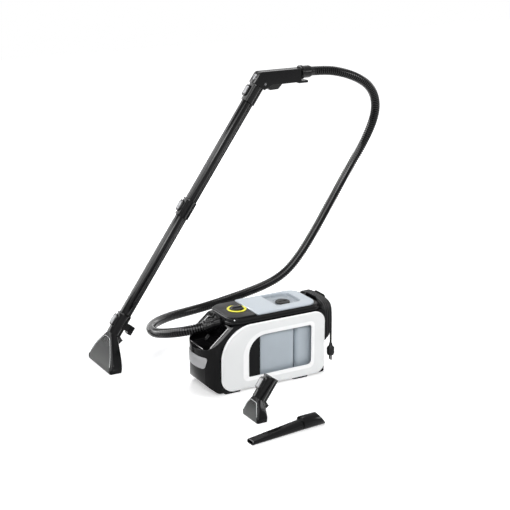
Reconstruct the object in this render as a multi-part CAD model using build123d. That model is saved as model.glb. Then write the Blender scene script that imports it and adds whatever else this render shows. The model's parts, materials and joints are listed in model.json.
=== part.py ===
from build123d import *
import os
from math import cos, radians, sin, tan

# Compact spray-extraction carpet cleaner with its wand, hand nozzle and crevice tool.
# Millimetres, +Z up, floor at Z = 0, origin at the middle of the set's footprint.
# The machine's own frame has X from the hose end (-) to the cord end (+) and Y across it.

# Where each group stands on the floor
MACHINE_X, MACHINE_Y = 18, 15
WAND_AT = (-314.5, 365, 174.4)
HAND_AT = (-100, -275, 127)
CREVICE_TIP = (-265, -436)
CREVICE_YAW = 4
LEAN = 35

# Clearances
TOUCH_GAP = 0.3
SLIP_GAP = 0.4
RUN_GAP = 0.05

# Machine housing
NOSE = 241
NOSE_BOW = 36
NOSE_CORNER = 46
REAR = 208
HALF_WIDTH = 90
WALL = 3.5
FOOT_HEIGHT = 8
FOOT_XS, FOOT_Y = (-142, 118), 80
FOOT_TOP, FOOT_SOLE = (66, 18), (60, 14)
SCREW_XS, SCREW_Y, SCREW_R = (-128, -20, 176), 60, 4
DECK = 232
LIP = 158
RAIL_TOP_X = -138
BAY_FRONT, BAY_REAR = -46, 190
BAY_FLOOR = 24
BAY_HALF = 79.5
BULKHEAD = 4
SCOOP_HALF = 68
SCOOP_BACK = -148
SCOOP_FLOOR = 140
SCOOP_CORNER = 12

# White side panels with the bevelled tank window
PANEL_THICK = 7
PANEL_EDGE = 4
PANEL_BOX = (-187, 9, 207, 231)
PANEL_RADII = (46, 34, 40, 112)
WINDOW_BOX = (-85, 46, 156, 187)
WINDOW_RADII = (6, 14, 10, 64)
RIM_BOX = (-112, 33, 167, 204)
RIM_RADII = (22, 22, 18, 86)
RIM_DEPTH = 4.5

# Glossy top cover, control panel, ring and knob
COVER_FRONT, COVER_REAR = -150, 203
COVER_HALF = 86
COVER_STEP = 4
COVER_STEP_Z = 241
COVER_TOP = 252
COVER_SKIN = 5
COVER_FRONT_R, COVER_REAR_R = 44, 30
PANEL_PLATE = 3.5
PLATE_HALF, PLATE_CORNER = 76, 38
DIAL_X = -80
RING_R, RING_BAND, RING_HEIGHT = 33, 8, 2.5
KNOB_R, KNOB_HEIGHT = 23, 9
KNOB_SHAFT_R = 4
SWITCH_R, SWITCH_HEIGHT = 16, 6.5

# Tanks and lid
TANK_HALF = 76
TANK_TOP = 240
TANK_WALL = 2.5
TANK_EDGE, TANK_REAR_EDGE = 14, 34
DIRTY_FRONT, DIRTY_REAR = -40, 101
FRESH_FRONT, FRESH_REAR = 105, 184
LID_FRONT, LID_REAR = -45, 188
LID_HALF = 78.6
LID_TOP = 258
LID_SKIN = 4
LID_REAR_R, LID_FRONT_R = 36, 5
RECESS_X, RECESS_Y = (50, 150), (-42, 66)
RECESS_FLOOR = 248
LOCK_X, LOCK_R, LOCK_NECK_R, LOCK_HEIGHT = 97, 25, 14, 4.5
SEAL_HEIGHT, SEAL_WIDTH = 2.5, 6
FLOAT_X, FLOAT_Y, FLOAT_R, FLOAT_HEIGHT, FLOAT_RISE = 30, -46, 12.5, 22, 18
CAGE_FLOOR, CAGE_WALL = 186, 2.5

# Suction, air and water lines inside the machine
DUCT_Z, DUCT_R, DUCT_WALL = 221, 18, 2.5
AIR_Y, AIR_Z, AIR_R = 36, 198, 15
MOTOR_X, MOTOR_R, MOTOR_TOP = -112, 40, 70
FAN_R, FAN_TOP, FAN_WALL = 47, 104, 3
SHAFT_R, IMPELLER_R, BLADES = 4, 41, 9
MOUNT_R, MOUNT_HOLE_R, MOUNT_TOP = 45, 30, 20
PUMP_X, PUMP_Y, PUMP_R, PUMP_TOP = -105, -48, 22, 96
BRACKET_TOP = 24
LINE_R = 3.5
VALVE_X, VALVE_R = 140, 9

# Power cord, hung in a hank over the hook behind the machine
CORD_R = 3.5
CORD_PITCH = 7.7
CORD_SIDES = 6
HANK_X = 214.5
HANK_HALF = 70
HANK_TOP, HANK_BOTTOM = 238, 122
HANK_NEAR, HANK_FAR = 10, 34
HANK_BEND = 34
HANK_LAYERS = 4
HANK_LOOPS = 3
HOOK_BEND = 44
HOOK_WALL = 5
HOOK_LEG = 176
HOOK_FENCE_HALF, HOOK_FENCE_TOP = 32, 259
GLAND_Y = 8
GLAND_LENGTH = 34
GLAND_R = 6
PLUG_TOP, PLUG_LENGTH, PLUG_R = 104, 42, 13
PIN_R, PIN_LENGTH, PIN_SPREAD = 2.4, 19, 9.5

# Suction hose, from the cuff at the machine to the collar at the handle
HOSE_R, HOSE_ROOT_R, HOSE_BORE_R = 16.5, 14.6, 12.5
HOSE_RIBS = 40
HOSE_SIDES = 12
HOSE_STRETCH = 8
HOSE_BORE_STEPS = 60
HOSE_ROUTE = [
    (-162, 27, 212), (-207, 46, 199), (-246, 82, 185), (-270, 134, 169),
    (-277, 193, 152), (-262, 262, 138), (-228, 329, 126), (-174, 385, 116),
    (-104, 427, 109), (-24, 452, 104), (58, 461, 107), (138, 459, 119),
    (216, 447, 137), (290, 432, 159), (356, 420, 191), (410, 418, 237),
    (463, 422, 297), (515, 429, 362), (568, 437, 432), (620, 443, 503),
    (668, 443, 575), (706, 434, 638), (731, 419, 703), (740, 398, 768),
    (725, 377, 829), (685, 361, 883), (626, 356, 919), (563, 358, 942),
    (496, 365, 955), (428, 365, 955),
]
CUFF_LENGTH, CUFF_R, CUFF_GRIP = 36, 20, 16
PORT_FLANGE = 25
COLLAR_R, COLLAR_LENGTH, HOSE_REACH = 24.5, 47, 41.5

# Wand tubes, sockets, buttons and spray pipe
TUBE_R, TUBE_WALL = 16.5, 2
SOCKET_R, SOCKET_LENGTH = 21, 66
NOZZLE_SOCKET_LENGTH = 78
SOCKET_DEPTH = 45
PIPE_R, PIPE_OFFSET, PIPE_WALL = 6, 22.8, 1.6
PIPE_START, PIPE_JOINT, PIPE_END, PIPE_BREAK = 16, 30, 4, 1
LOBE_R = 9.5
LOWER_RIM, UPPER_RIM = 455, 915
BUTTON_LENGTH, BUTTON_WIDTH, BUTTON_THICK = 30, 15, 7.5
BUTTON_STEP, BUTTON_TRAVEL, BUTTON_BOSS = 33, 2.5, 27

# Handle, placed from the middle of the upper rim
RIM_X, RIM_Z = WAND_AT[0] + UPPER_RIM * sin(radians(LEAN)), WAND_AT[2] + UPPER_RIM * cos(radians(LEAN))
GRIP_RISE, GRIP_ABOVE, GRIP_BELOW = 31.1, 16, 32
GRIP_REACH, GRIP_HALF, GRIP_EDGE = 175.7, 20, 3
HEEL_LENGTH, HEEL_LEAD, HEEL_STEP, HEEL_DROP = 27, 10, 5, 4
GRIP_AXIS_Z = RIM_Z + GRIP_RISE
GRIP_TOP, GRIP_BOTTOM = GRIP_AXIS_Z + GRIP_ABOVE, GRIP_AXIS_Z - GRIP_BELOW
GRIP_REAR = RIM_X + GRIP_REACH
HEEL_REAR, HEEL_FRONT = GRIP_REAR + HEEL_LENGTH, GRIP_REAR - HEEL_LEAD
HEEL_TOP, HEEL_BOTTOM = GRIP_BOTTOM + HEEL_STEP, GRIP_BOTTOM - HEEL_DROP
COLLAR_FRONT = GRIP_REAR + 0.5
ELBOW_R, ELBOW_BORE_R, ELBOW_BEND = 14, 12, 45
SWIVEL_END = HEEL_REAR - 1
TRIGGER_SET = 53.7
TRIGGER_PIVOT = (RIM_X + TRIGGER_SET, GRIP_BOTTOM - 1)
TRIGGER_HALF, TRIGGER_PULL = 8, 8
TRIGGER_PIN_R = 2
POCKET_TOP = GRIP_BOTTOM + 15
SPRAY_VALVE_Z, SPRAY_VALVE_R = GRIP_BOTTOM + 8.5, 7
RELIEF_LENGTH, RELIEF_WIDTH, RELIEF_THICK, RELIEF_TRAVEL = 20, 15, 4, 6

# Nozzle heads: mouth middle, depth and width
FLOOR_MOUTH = (-392, 44, 194)
HAND_MOUTH = (-157, 37, 98)
MOUTH_WALL, MOUTH_LIP = 2.5, 14
NECK_DEPTH, NECK_WIDTH = 32, 42
WAIST_SHARE = 0.34
WINDOW_TRAY = 8
JET_R, JET_LENGTH, JET_OFFSET = 9, 20, 37

# Crevice tool
CREVICE_LENGTH, CREVICE_TIP_WIDTH, CREVICE_TIP_HEIGHT = 275, 34, 13
CREVICE_NECK, CREVICE_NECK_WIDTH, CREVICE_NECK_HEIGHT = 192, 37, 35
CREVICE_SOCKET_R, CREVICE_WALL = 22, 2.2


def box(x, y, z):
    """A block between two X, two Y and two Z values."""
    size = (x[1] - x[0], y[1] - y[0], z[1] - z[0])
    return Pos((x[0] + x[1]) / 2, (y[0] + y[1]) / 2, (z[0] + z[1]) / 2) * Box(*size)


def disc(x, y, z, radius):
    """An upright cylinder between two Z values."""
    return Pos(x, y, z[0]) * extrude(Circle(radius), z[1] - z[0])


def rod_x(x, y, z, radius):
    """A cylinder along X between two X values."""
    return Plane((x[0], y, z), x_dir=(0, 1, 0), z_dir=(1, 0, 0)) * extrude(Circle(radius), x[1] - x[0])


def rod_y(x, y, z, radius):
    """A cylinder along Y between two Y values."""
    return Plane((x, y[0], z), x_dir=(1, 0, 0), z_dir=(0, 1, 0)) * extrude(Circle(radius), y[1] - y[0])


def rounded_box(corners, radii):
    """A flat outline with its own radius at each corner, from the lower left round."""
    x0, y0, x1, y1 = corners
    return make_face(FilletPolyline((x0, y0), (x1, y0), (x1, y1), (x0, y1), radius=radii, close=True))


def outline(points, radii):
    """A flat closed outline with a radius at each corner."""
    return make_face(FilletPolyline(*points, radius=radii, close=True))


def across(face, y):
    """A side view drawn in X and Z, given a thickness between two Y values."""
    solid = extrude(Plane.XZ * face, -(y[1] - y[0]))
    return Pos(0, y[0], 0) * solid


def upright(face, z):
    """A plan view given a height between two Z values."""
    return Pos(0, 0, z[0]) * extrude(face, z[1] - z[0])


def pipe(points, radii, outer, bore, sides=8):
    """A flat-sided pipe along straight runs and bends."""
    path = FilletPolyline(*points, radius=radii)
    start = Plane(path @ 0, z_dir=path % 0)
    solid = sweep(start * RegularPolygon(outer, sides), path)
    return solid - sweep(start * RegularPolygon(bore, sides), path)


# Machine housing

def housing_plan():
    shoulder = NOSE_BOW - NOSE
    sides = [
        Line((REAR, -HALF_WIDTH), (shoulder, -HALF_WIDTH)),
        ThreePointArc((shoulder, -HALF_WIDTH), (-NOSE, 0), (shoulder, HALF_WIDTH)),
        Line((shoulder, HALF_WIDTH), (REAR, HALF_WIDTH)),
        Line((REAR, HALF_WIDTH), (REAR, -HALF_WIDTH)),
    ]
    face = make_face(Wire(sides))
    front = face.vertices().sort_by(Axis.X)[:2]
    return fillet(front, NOSE_CORNER)


def housing_side():
    ahead = -NOSE - 4
    points = [
        (ahead + 48, FOOT_HEIGHT), (REAR, FOOT_HEIGHT), (REAR, DECK), (RAIL_TOP_X, DECK),
        (-NOSE + 16, LIP), (ahead, LIP - 8), (ahead, 84), (ahead + 17, 32),
    ]
    return outline(points, [22, 6, 6, 26, 8, 6, 80, 40])


def bow_block(inset=0.0):
    plan, side = housing_plan(), housing_side()
    if inset:
        plan = offset(plan, -inset, kind=Kind.INTERSECTION)
        side = offset(side, -inset, kind=Kind.INTERSECTION)
    return upright(plan, (0, DECK + 50)) & across(side, (-HALF_WIDTH - 10, HALF_WIDTH + 10))


def scoop_block(grow=0.0):
    """The recess in the front slope that the hose leaves through."""
    ahead, above = -NOSE - 30, DECK + 40
    points = [
        (ahead, LIP), (-NOSE + 14, LIP), (-NOSE + 28, SCOOP_FLOOR), (SCOOP_BACK - 14, SCOOP_FLOOR),
        (SCOOP_BACK, SCOOP_FLOOR + 16), (SCOOP_BACK, above), (ahead, above),
    ]
    face = outline(points, [0, 3, 8, 12, 12, 0, 0])
    if grow:
        face = offset(face, grow, kind=Kind.INTERSECTION)
    half = SCOOP_HALF + grow
    block = across(face, (-half, half))
    return fillet(block.edges().filter_by(Axis.Z).group_by(Axis.X)[-1], SCOOP_CORNER)


def exhaust_slots():
    """Slots in the base below the motor, inside its mounting ring."""
    slots = Part()
    for k in range(-2, 3):
        reach = (MOUNT_HOLE_R - 6) * cos(k * 0.5)
        y = AIR_Y + k * 10
        slots += box((MOTOR_X - reach, MOTOR_X + reach), (y - 2, y + 2), (0, MOUNT_TOP))
    return slots


def pedestals():
    """Raised seats on the base for the motor and the pump."""
    low = FOOT_HEIGHT + WALL - 1
    seat = disc(MOTOR_X, AIR_Y, (low, MOUNT_TOP), MOUNT_R) - disc(MOTOR_X, AIR_Y, (low, MOUNT_TOP), MOUNT_HOLE_R)
    block = box((PUMP_X - 30, PUMP_X + 26), (PUMP_Y - 24, PUMP_Y + 22), (low, BRACKET_TOP))
    block = fillet(block.edges().filter_by(Axis.Z), 8)
    way = box((PUMP_X - LINE_R - 1, PUMP_X + 40), (PUMP_Y - 6, PUMP_Y + 6), (FOOT_HEIGHT + WALL, BRACKET_TOP))
    return seat + (block - way - disc(MOTOR_X, AIR_Y, (low, MOUNT_TOP), MOUNT_HOLE_R))


def screw_places():
    return [(x, y) for x in SCREW_XS for y in (-SCREW_Y, SCREW_Y)]


def lower_housing():
    shell = bow_block()
    scoop = scoop_block()
    cavity = bow_block(WALL) & box((-NOSE, BAY_FRONT - BULKHEAD), (-HALF_WIDTH, HALF_WIDTH), (0, DECK))
    well = box((SCOOP_BACK + WALL, BAY_FRONT - BULKHEAD), (-76, 76), (LIP, DECK + 1))
    shell -= (cavity + well) - scoop_block(WALL)
    shell -= scoop
    shell -= box((BAY_FRONT, BAY_REAR), (-BAY_HALF, BAY_HALF), (BAY_FLOOR, DECK + 1))
    side_gap = box((BAY_FRONT + 4, BAY_REAR - 4), (-HALF_WIDTH - 1, HALF_WIDTH + 1), (34, 204))
    shell -= side_gap
    tower = box((SCOOP_BACK, SCOOP_BACK + WALL), (-44, 44), (SCOOP_FLOOR + 40, COVER_TOP - COVER_SKIN))
    shell += tower
    shell -= rod_x((SCOOP_BACK - 1, SCOOP_BACK + WALL + 1), 0, DUCT_Z, DUCT_R)
    hole = rod_x((BAY_FRONT - BULKHEAD - 1, BAY_FRONT + 1), 0, DUCT_Z, DUCT_R)
    shell -= hole
    shell -= rod_x((BAY_FRONT - BULKHEAD - 1, BAY_FRONT + 1), AIR_Y, AIR_Z, AIR_R)
    shell += pedestals()
    shell -= exhaust_slots()
    channel = box((BAY_FRONT - 6, VALVE_X), (PUMP_Y - 6, PUMP_Y + 6), (0, FOOT_HEIGHT + 12))
    shell -= channel
    shell -= disc(VALVE_X, PUMP_Y, (0, BAY_FLOOR + 1), VALVE_R + 3)
    for x, y in screw_places():
        shell -= disc(x, y, (0, FOOT_HEIGHT + 1.5), SCREW_R + 1)
    return shell


def rubber_feet():
    """Four long pads, each narrowing a little towards the floor."""
    pads = Part()
    for x in FOOT_XS:
        for y in (-FOOT_Y, FOOT_Y):
            top = Pos(x, y, FOOT_HEIGHT) * SlotOverall(*FOOT_TOP)
            bottom = Pos(x, y, 0) * SlotOverall(*FOOT_SOLE)
            pads += loft([bottom, top])
    return pads


def base_screws():
    screws = Part()
    for x, y in screw_places():
        screws += disc(x, y, (FOOT_HEIGHT - 1, FOOT_HEIGHT + 1.5), SCREW_R)
    return screws


def side_panel(side):
    """A white panel with a wide bevel falling to the tank window; side is -1 near, +1 far."""
    plate = across(rounded_box(PANEL_BOX, PANEL_RADII), (0, PANEL_THICK))
    plate = chamfer(plate.faces().sort_by(Axis.Y)[-1].outer_wire().edges(), PANEL_EDGE - 1)
    rim = Plane.XZ.offset(-PANEL_THICK) * rounded_box(RIM_BOX, RIM_RADII)
    window = Plane.XZ.offset(RIM_DEPTH - PANEL_THICK) * rounded_box(WINDOW_BOX, WINDOW_RADII)
    plate -= loft([rim, window], ruled=True)
    plate -= across(rounded_box(WINDOW_BOX, WINDOW_RADII), (-1, PANEL_THICK + 1))
    plate = Pos(0, HALF_WIDTH, 0) * plate
    return plate if side > 0 else mirror(plate, Plane.XZ)


def badge_plate():
    """A bare plate that follows the nose's curve."""
    outer, inner = offset(housing_plan(), 1.6 + TOUCH_GAP), offset(housing_plan(), TOUCH_GAP)
    skin = upright(outer, (0, DECK)) - upright(inner, (0, DECK))
    points = [(-54, 90), (54, 90), (66, 130), (-66, 130)]
    face = outline(points, [12, 12, 7, 7])
    return skin & (Plane((-NOSE + 40, 0, 0), x_dir=(0, -1, 0), z_dir=(-1, 0, 0)) * extrude(face, 60))


def cover_plan(half):
    return rounded_box(
        (COVER_FRONT + COVER_HALF - half, -half, COVER_REAR - COVER_HALF + half, half),
        [COVER_FRONT_R, COVER_REAR_R, COVER_REAR_R, COVER_FRONT_R],
    )


def top_cover():
    """Glossy stepped rim round the tank mouth, closed over the front compartment."""
    skirt = upright(cover_plan(COVER_HALF), (DECK, COVER_STEP_Z))
    skirt = chamfer(skirt.faces().sort_by(Axis.Z)[-1].outer_wire().edges(), 2)
    crown = upright(cover_plan(COVER_HALF - COVER_STEP), (COVER_STEP_Z - 1, COVER_TOP))
    crown = chamfer(crown.faces().sort_by(Axis.Z)[-1].outer_wire().edges(), 2)
    cover = skirt + crown
    room_top = COVER_TOP - COVER_SKIN
    mouth = rounded_box((LID_FRONT - 1, -BAY_HALF, LID_REAR + 1, BAY_HALF), [4, LID_REAR_R, LID_REAR_R, 4])
    cover -= upright(mouth, (DECK - 1, COVER_TOP + 1))
    room = box((COVER_FRONT + COVER_SKIN, LID_FRONT - COVER_SKIN), (-74, 74), (DECK - 1, room_top))
    cover -= fillet(room.edges().filter_by(Axis.Z).group_by(Axis.X)[0], 34)
    cover -= box((COVER_FRONT - 1, COVER_FRONT + 30), (-46, 46), (DECK - 1, room_top))
    cover -= rod_x((LID_FRONT - COVER_SKIN - 1, LID_FRONT), 0, DUCT_Z, DUCT_R + TOUCH_GAP)
    cover -= disc(DIAL_X, 0, (room_top - 1, COVER_TOP + 1), KNOB_SHAFT_R + SLIP_GAP)
    return cover


def control_panel():
    rear = LID_FRONT - 2
    face = rounded_box((COVER_FRONT + 8, -PLATE_HALF, rear, PLATE_HALF), [PLATE_CORNER, 3, 3, PLATE_CORNER])
    plate = upright(face, (COVER_TOP, COVER_TOP + PANEL_PLATE))
    plate = chamfer(plate.faces().sort_by(Axis.Z)[-1].outer_wire().edges(), 1.2)
    return plate - disc(DIAL_X, 0, (COVER_TOP - 1, LID_TOP), KNOB_SHAFT_R + SLIP_GAP)


def dial_ring():
    low = COVER_TOP + PANEL_PLATE
    ring = disc(DIAL_X, 0, (low, low + RING_HEIGHT), RING_R) - disc(
        DIAL_X, 0, (low, low + RING_HEIGHT), RING_R - RING_BAND
    )
    return chamfer(ring.faces().sort_by(Axis.Z)[-1].edges(), 0.9)


def selector_knob():
    low = COVER_TOP + PANEL_PLATE + TOUCH_GAP
    knob = disc(DIAL_X, 0, (low, low + KNOB_HEIGHT - 3), KNOB_R)
    knob = chamfer(knob.faces().sort_by(Axis.Z)[-1].edges(), 2)
    bar = box((DIAL_X - KNOB_R + 4, DIAL_X + KNOB_R - 4), (-5, 5), (low, low + KNOB_HEIGHT))
    knob += chamfer(bar.faces().sort_by(Axis.Z)[-1].edges(), 1.5)
    shaft_low = COVER_TOP - COVER_SKIN - SWITCH_HEIGHT + 2
    return knob + disc(DIAL_X, 0, (shaft_low, low + 1), KNOB_SHAFT_R)


def switch_block():
    top = COVER_TOP - COVER_SKIN
    block = disc(DIAL_X, 0, (top - SWITCH_HEIGHT, top), SWITCH_R)
    return block - disc(DIAL_X, 0, (top - SWITCH_HEIGHT + 1, top + 1), KNOB_SHAFT_R + RUN_GAP)


# Inside the front compartment

def inlet_seals():
    """Soft rings that press on the tank's front wall at its two ports."""
    run = (BAY_FRONT, DIRTY_FRONT - TOUCH_GAP)
    large = rod_x(run, 0, DUCT_Z, DUCT_R + 2) - rod_x(run, 0, DUCT_Z, DUCT_R - DUCT_WALL)
    small = rod_x(run, AIR_Y, AIR_Z, AIR_R + 1.5) - rod_x(run, AIR_Y, AIR_Z, AIR_R - DUCT_WALL)
    return Compound([large, small])


def air_duct():
    points = [(BAY_FRONT, AIR_Y, AIR_Z), (MOTOR_X, AIR_Y, AIR_Z), (MOTOR_X, AIR_Y, FAN_TOP)]
    return pipe(points, [30], AIR_R - TOUCH_GAP, AIR_R - DUCT_WALL, 12)


def turbine_motor():
    body = disc(MOTOR_X, AIR_Y, (MOUNT_TOP, MOTOR_TOP), MOTOR_R)
    body = chamfer(body.edges().group_by(Axis.Z)[0], 5)
    return body - disc(MOTOR_X, AIR_Y, (MOTOR_TOP - 25, MOTOR_TOP), SHAFT_R + RUN_GAP)


def fan_housing():
    body = disc(MOTOR_X, AIR_Y, (MOTOR_TOP, FAN_TOP), FAN_R)
    body = chamfer(body.edges().group_by(Axis.Z)[-1], 4)
    body -= disc(MOTOR_X, AIR_Y, (MOTOR_TOP + FAN_WALL, FAN_TOP - FAN_WALL), FAN_R - FAN_WALL)
    body -= disc(MOTOR_X, AIR_Y, (MOTOR_TOP, FAN_TOP), AIR_R - DUCT_WALL)
    outlet = box((MOTOR_X - FAN_R, MOTOR_X), (AIR_Y - 12, AIR_Y + 12), (MOTOR_TOP + 8, FAN_TOP - 8))
    return body - outlet


def turbine_rotor():
    """Shaft, back plate and straight set-back blades of the suction fan."""
    plate_low = MOTOR_TOP + FAN_WALL + 2
    tip = FAN_TOP - FAN_WALL - 2
    rotor = disc(0, 0, (MOTOR_TOP - 24, tip - 4), SHAFT_R)
    rotor += disc(0, 0, (plate_low, plate_low + 2.5), IMPELLER_R)
    blade = box((SHAFT_R + 7, IMPELLER_R - 1), (4, 5.6), (plate_low + 1, tip))
    for k in range(BLADES):
        rotor += Rot(0, 0, k * 360 / BLADES) * blade
    return Pos(MOTOR_X, AIR_Y, 0) * rotor


def water_pump():
    body = disc(PUMP_X, PUMP_Y, (BRACKET_TOP, PUMP_TOP - 16), PUMP_R)
    body += disc(PUMP_X, PUMP_Y, (PUMP_TOP - 16, PUMP_TOP - 6), PUMP_R - 5)
    body += disc(PUMP_X, PUMP_Y, (PUMP_TOP - 6, PUMP_TOP), 7)
    return body


def feed_tube():
    """Fresh-water line in the base channel, from the tank valve to the pump."""
    z = FOOT_HEIGHT + WALL + LINE_R + TOUCH_GAP
    points = [(VALVE_X - VALVE_R - 3, PUMP_Y, z), (PUMP_X, PUMP_Y, z), (PUMP_X, PUMP_Y, BRACKET_TOP)]
    return pipe(points, [LINE_R * 2], LINE_R, LINE_R - 1.2)


def delivery_tube():
    """Pressure line from the pump to the spray line inside the hose."""
    points = [
        (PUMP_X, PUMP_Y, PUMP_TOP), (PUMP_X, PUMP_Y, 150), (PUMP_X - 14, PUMP_Y + 14, 186),
        (SCOOP_BACK + WALL, PUMP_Y + 14, 186),
    ]
    return pipe(points, [14, 10], LINE_R, LINE_R - 1.2)


# Tanks and lid

def tank_plan(x, rear_edge, inset=0.0):
    half = TANK_HALF - inset
    front, rear = TANK_EDGE - inset, rear_edge - inset
    return rounded_box((x[0] + inset, -half, x[1] - inset, half), [front, rear, rear, front])


def open_tank(x, rear_edge):
    block = upright(tank_plan(x, rear_edge), (BAY_FLOOR, TANK_TOP))
    block = chamfer(block.faces().sort_by(Axis.Z)[0].edges(), 3)
    return block - upright(tank_plan(x, rear_edge, TANK_WALL), (BAY_FLOOR + TANK_WALL, TANK_TOP + 1))


def dirty_tank():
    tank = open_tank((DIRTY_FRONT, DIRTY_REAR), TANK_EDGE)
    wall = (DIRTY_FRONT - 1, DIRTY_FRONT + TANK_WALL + 1)
    tank -= rod_x(wall, 0, DUCT_Z, DUCT_R - DUCT_WALL)
    return tank - rod_x(wall, AIR_Y, AIR_Z, AIR_R - DUCT_WALL)


def fresh_tank():
    """Clean-water tank with the outlet spigot that drops into the base."""
    tank = open_tank((FRESH_FRONT, FRESH_REAR), TANK_REAR_EDGE)
    tank += disc(VALVE_X, PUMP_Y, (BAY_FLOOR - 6, BAY_FLOOR + 8), VALVE_R)
    return tank - disc(VALVE_X, PUMP_Y, (BAY_FLOOR - 7, BAY_FLOOR + 9), VALVE_R - 3)


def tank_divider():
    return box((DIRTY_REAR, FRESH_FRONT), (-TANK_HALF + TANK_EDGE, TANK_HALF - TANK_EDGE), (BAY_FLOOR + 4, TANK_TOP))


def lid_plan(inset=0.0):
    return rounded_box(
        (LID_FRONT + inset, -LID_HALF + inset, LID_REAR - inset, LID_HALF - inset),
        [LID_FRONT_R, LID_REAR_R - inset, LID_REAR_R - inset, LID_FRONT_R],
    )


def tank_lid():
    """Pale lid with the hand recess and the hole for its lock."""
    low = TANK_TOP + SEAL_HEIGHT
    lid = upright(lid_plan(), (low, LID_TOP))
    lid = chamfer(lid.faces().sort_by(Axis.Z)[-1].outer_wire().edges(), 2)
    lid -= upright(lid_plan(5), (low, LID_TOP - LID_SKIN))
    wall = LID_SKIN
    pocket_x = (RECESS_X[0] - wall, RECESS_X[1] + wall)
    pocket_y = (RECESS_Y[0] - wall, RECESS_Y[1] + wall)
    lid += box(pocket_x, pocket_y, (RECESS_FLOOR - wall, LID_TOP - LID_SKIN))
    recess = box(RECESS_X, RECESS_Y, (RECESS_FLOOR, LID_TOP + 1))
    near, far = recess.edges().filter_by(Axis.Z).group_by(Axis.X)
    recess = fillet(far, 22)
    lid -= fillet(recess.edges().filter_by(Axis.Z).group_by(Axis.X)[0], 5)
    lid += disc(FLOAT_X, FLOAT_Y, (TANK_TOP - 2, LID_TOP - 1), FLOAT_R + SLIP_GAP + CAGE_WALL)
    lid += float_cage()
    return lid - disc(LOCK_X, 0, (low, LID_TOP), LOCK_NECK_R + SLIP_GAP)


def lid_seal():
    """Gasket between the lid's skirt and the rims of both tanks."""
    rims = (DIRTY_FRONT, FRESH_REAR)
    outer, inner = tank_plan(rims, TANK_REAR_EDGE), tank_plan(rims, TANK_REAR_EDGE, SEAL_WIDTH)
    return upright(outer - inner, (TANK_TOP, TANK_TOP + SEAL_HEIGHT))


def lid_lock():
    """Round turn-lock in the hand recess."""
    low = RECESS_FLOOR + TOUCH_GAP
    knob = disc(LOCK_X, 0, (low, low + LOCK_HEIGHT), LOCK_R)
    knob = chamfer(knob.faces().sort_by(Axis.Z)[-1].edges(), 1.2)
    knob -= box((LOCK_X - 16, LOCK_X + 16), (-2.5, 2.5), (low + LOCK_HEIGHT - 2, low + LOCK_HEIGHT + 1))
    return knob + disc(LOCK_X, 0, (TANK_TOP + 1, low + 1), LOCK_NECK_R)


def float_cage():
    """Slotted cage under the lid in which the shut-off float rises."""
    outer, inner = FLOAT_R + SLIP_GAP + CAGE_WALL, FLOAT_R + SLIP_GAP
    top = TANK_TOP - 2
    cage = disc(FLOAT_X, FLOAT_Y, (CAGE_FLOOR, top), outer)
    cage -= disc(FLOAT_X, FLOAT_Y, (CAGE_FLOOR + CAGE_WALL, top + 1), inner)
    cage -= disc(FLOAT_X, FLOAT_Y, (CAGE_FLOOR - 1, top), inner - 5)
    slot = (CAGE_FLOOR + CAGE_WALL + 3, top - 6)
    cage -= box((FLOAT_X - 30, FLOAT_X + 30), (FLOAT_Y - 5, FLOAT_Y + 5), slot)
    return cage - box((FLOAT_X - 5, FLOAT_X + 5), (FLOAT_Y - 30, FLOAT_Y + 30), slot)


def shutoff_float():
    low = CAGE_FLOOR + CAGE_WALL
    cup = disc(FLOAT_X, FLOAT_Y, (low, low + FLOAT_HEIGHT), FLOAT_R)
    return chamfer(cup.edges().group_by(Axis.Z)[-1], 4)


# Hose

def hose_points():
    """The route, with its upper part carried along where the handle stands elsewhere."""
    end = Vector(COLLAR_FRONT + HOSE_REACH, WAND_AT[1], GRIP_AXIS_Z)
    shift = end - Vector(*HOSE_ROUTE[-1])
    free = len(HOSE_ROUTE) - 6
    return [Vector(*p) + shift * min(1, max(0, k - 4) / free) for k, p in enumerate(HOSE_ROUTE)]


def hose_line():
    """Straight runs joined by arcs as large as the shorter run beside each corner allows."""
    points = hose_points()
    runs = [b - a for a, b in zip(points, points[1:])]
    radii = []
    for before, after in zip(runs, runs[1:]):
        half_turn = radians(before.get_angle(after)) / 2
        radii.append(0.45 * min(before.length, after.length) / tan(half_turn))
    return FilletPolyline(*points, radius=radii), radii


def hose_section(path, place, radius):
    """A many-sided ring square to the hose, with its first corner on a steady side."""
    point, along = path @ place, path % place
    steady = Vector(0, -1, 1)
    aside = steady - along * steady.dot(along)
    return Plane(point, x_dir=aside, z_dir=along) * RegularPolygon(radius, HOSE_SIDES)


def suction_hose():
    path, radii = hose_line()
    end = 2 * HOSE_R / path.length
    pitch = (1 - 2 * end) / HOSE_RIBS
    sections = [hose_section(path, place, HOSE_ROOT_R) for place in (0, 0.7 * end)]
    for k in range(HOSE_RIBS):
        start = end + k * pitch
        for share, radius in ((0.10, HOSE_ROOT_R), (0.30, HOSE_R), (0.70, HOSE_R), (0.90, HOSE_ROOT_R)):
            sections.append(hose_section(path, start + share * pitch, radius))
    sections += [hose_section(path, place, HOSE_ROOT_R) for place in (1 - 0.7 * end, 1)]
    lengths = range(0, len(sections) - 1, HOSE_STRETCH)
    hose = Part() + [loft(sections[k:k + HOSE_STRETCH + 1], ruled=True) for k in lengths]
    places = [k / HOSE_BORE_STEPS for k in range(HOSE_BORE_STEPS + 1)]
    rings = [hose_section(path, place, HOSE_BORE_R) for place in places]
    bore = Part() + [loft(rings[k:k + 5], ruled=True) for k in range(0, HOSE_BORE_STEPS, 4)]
    print("hose length", round(path.length), "radii", [round(r) for r in radii])
    print("hose bore volume ratio", round(bore.volume / (rings[0].area * path.length), 4))
    return hose - bore


def cuff_axis():
    start, after = Vector(*HOSE_ROUTE[0]), Vector(*HOSE_ROUTE[1])
    return start, (after - start).normalized()


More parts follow.
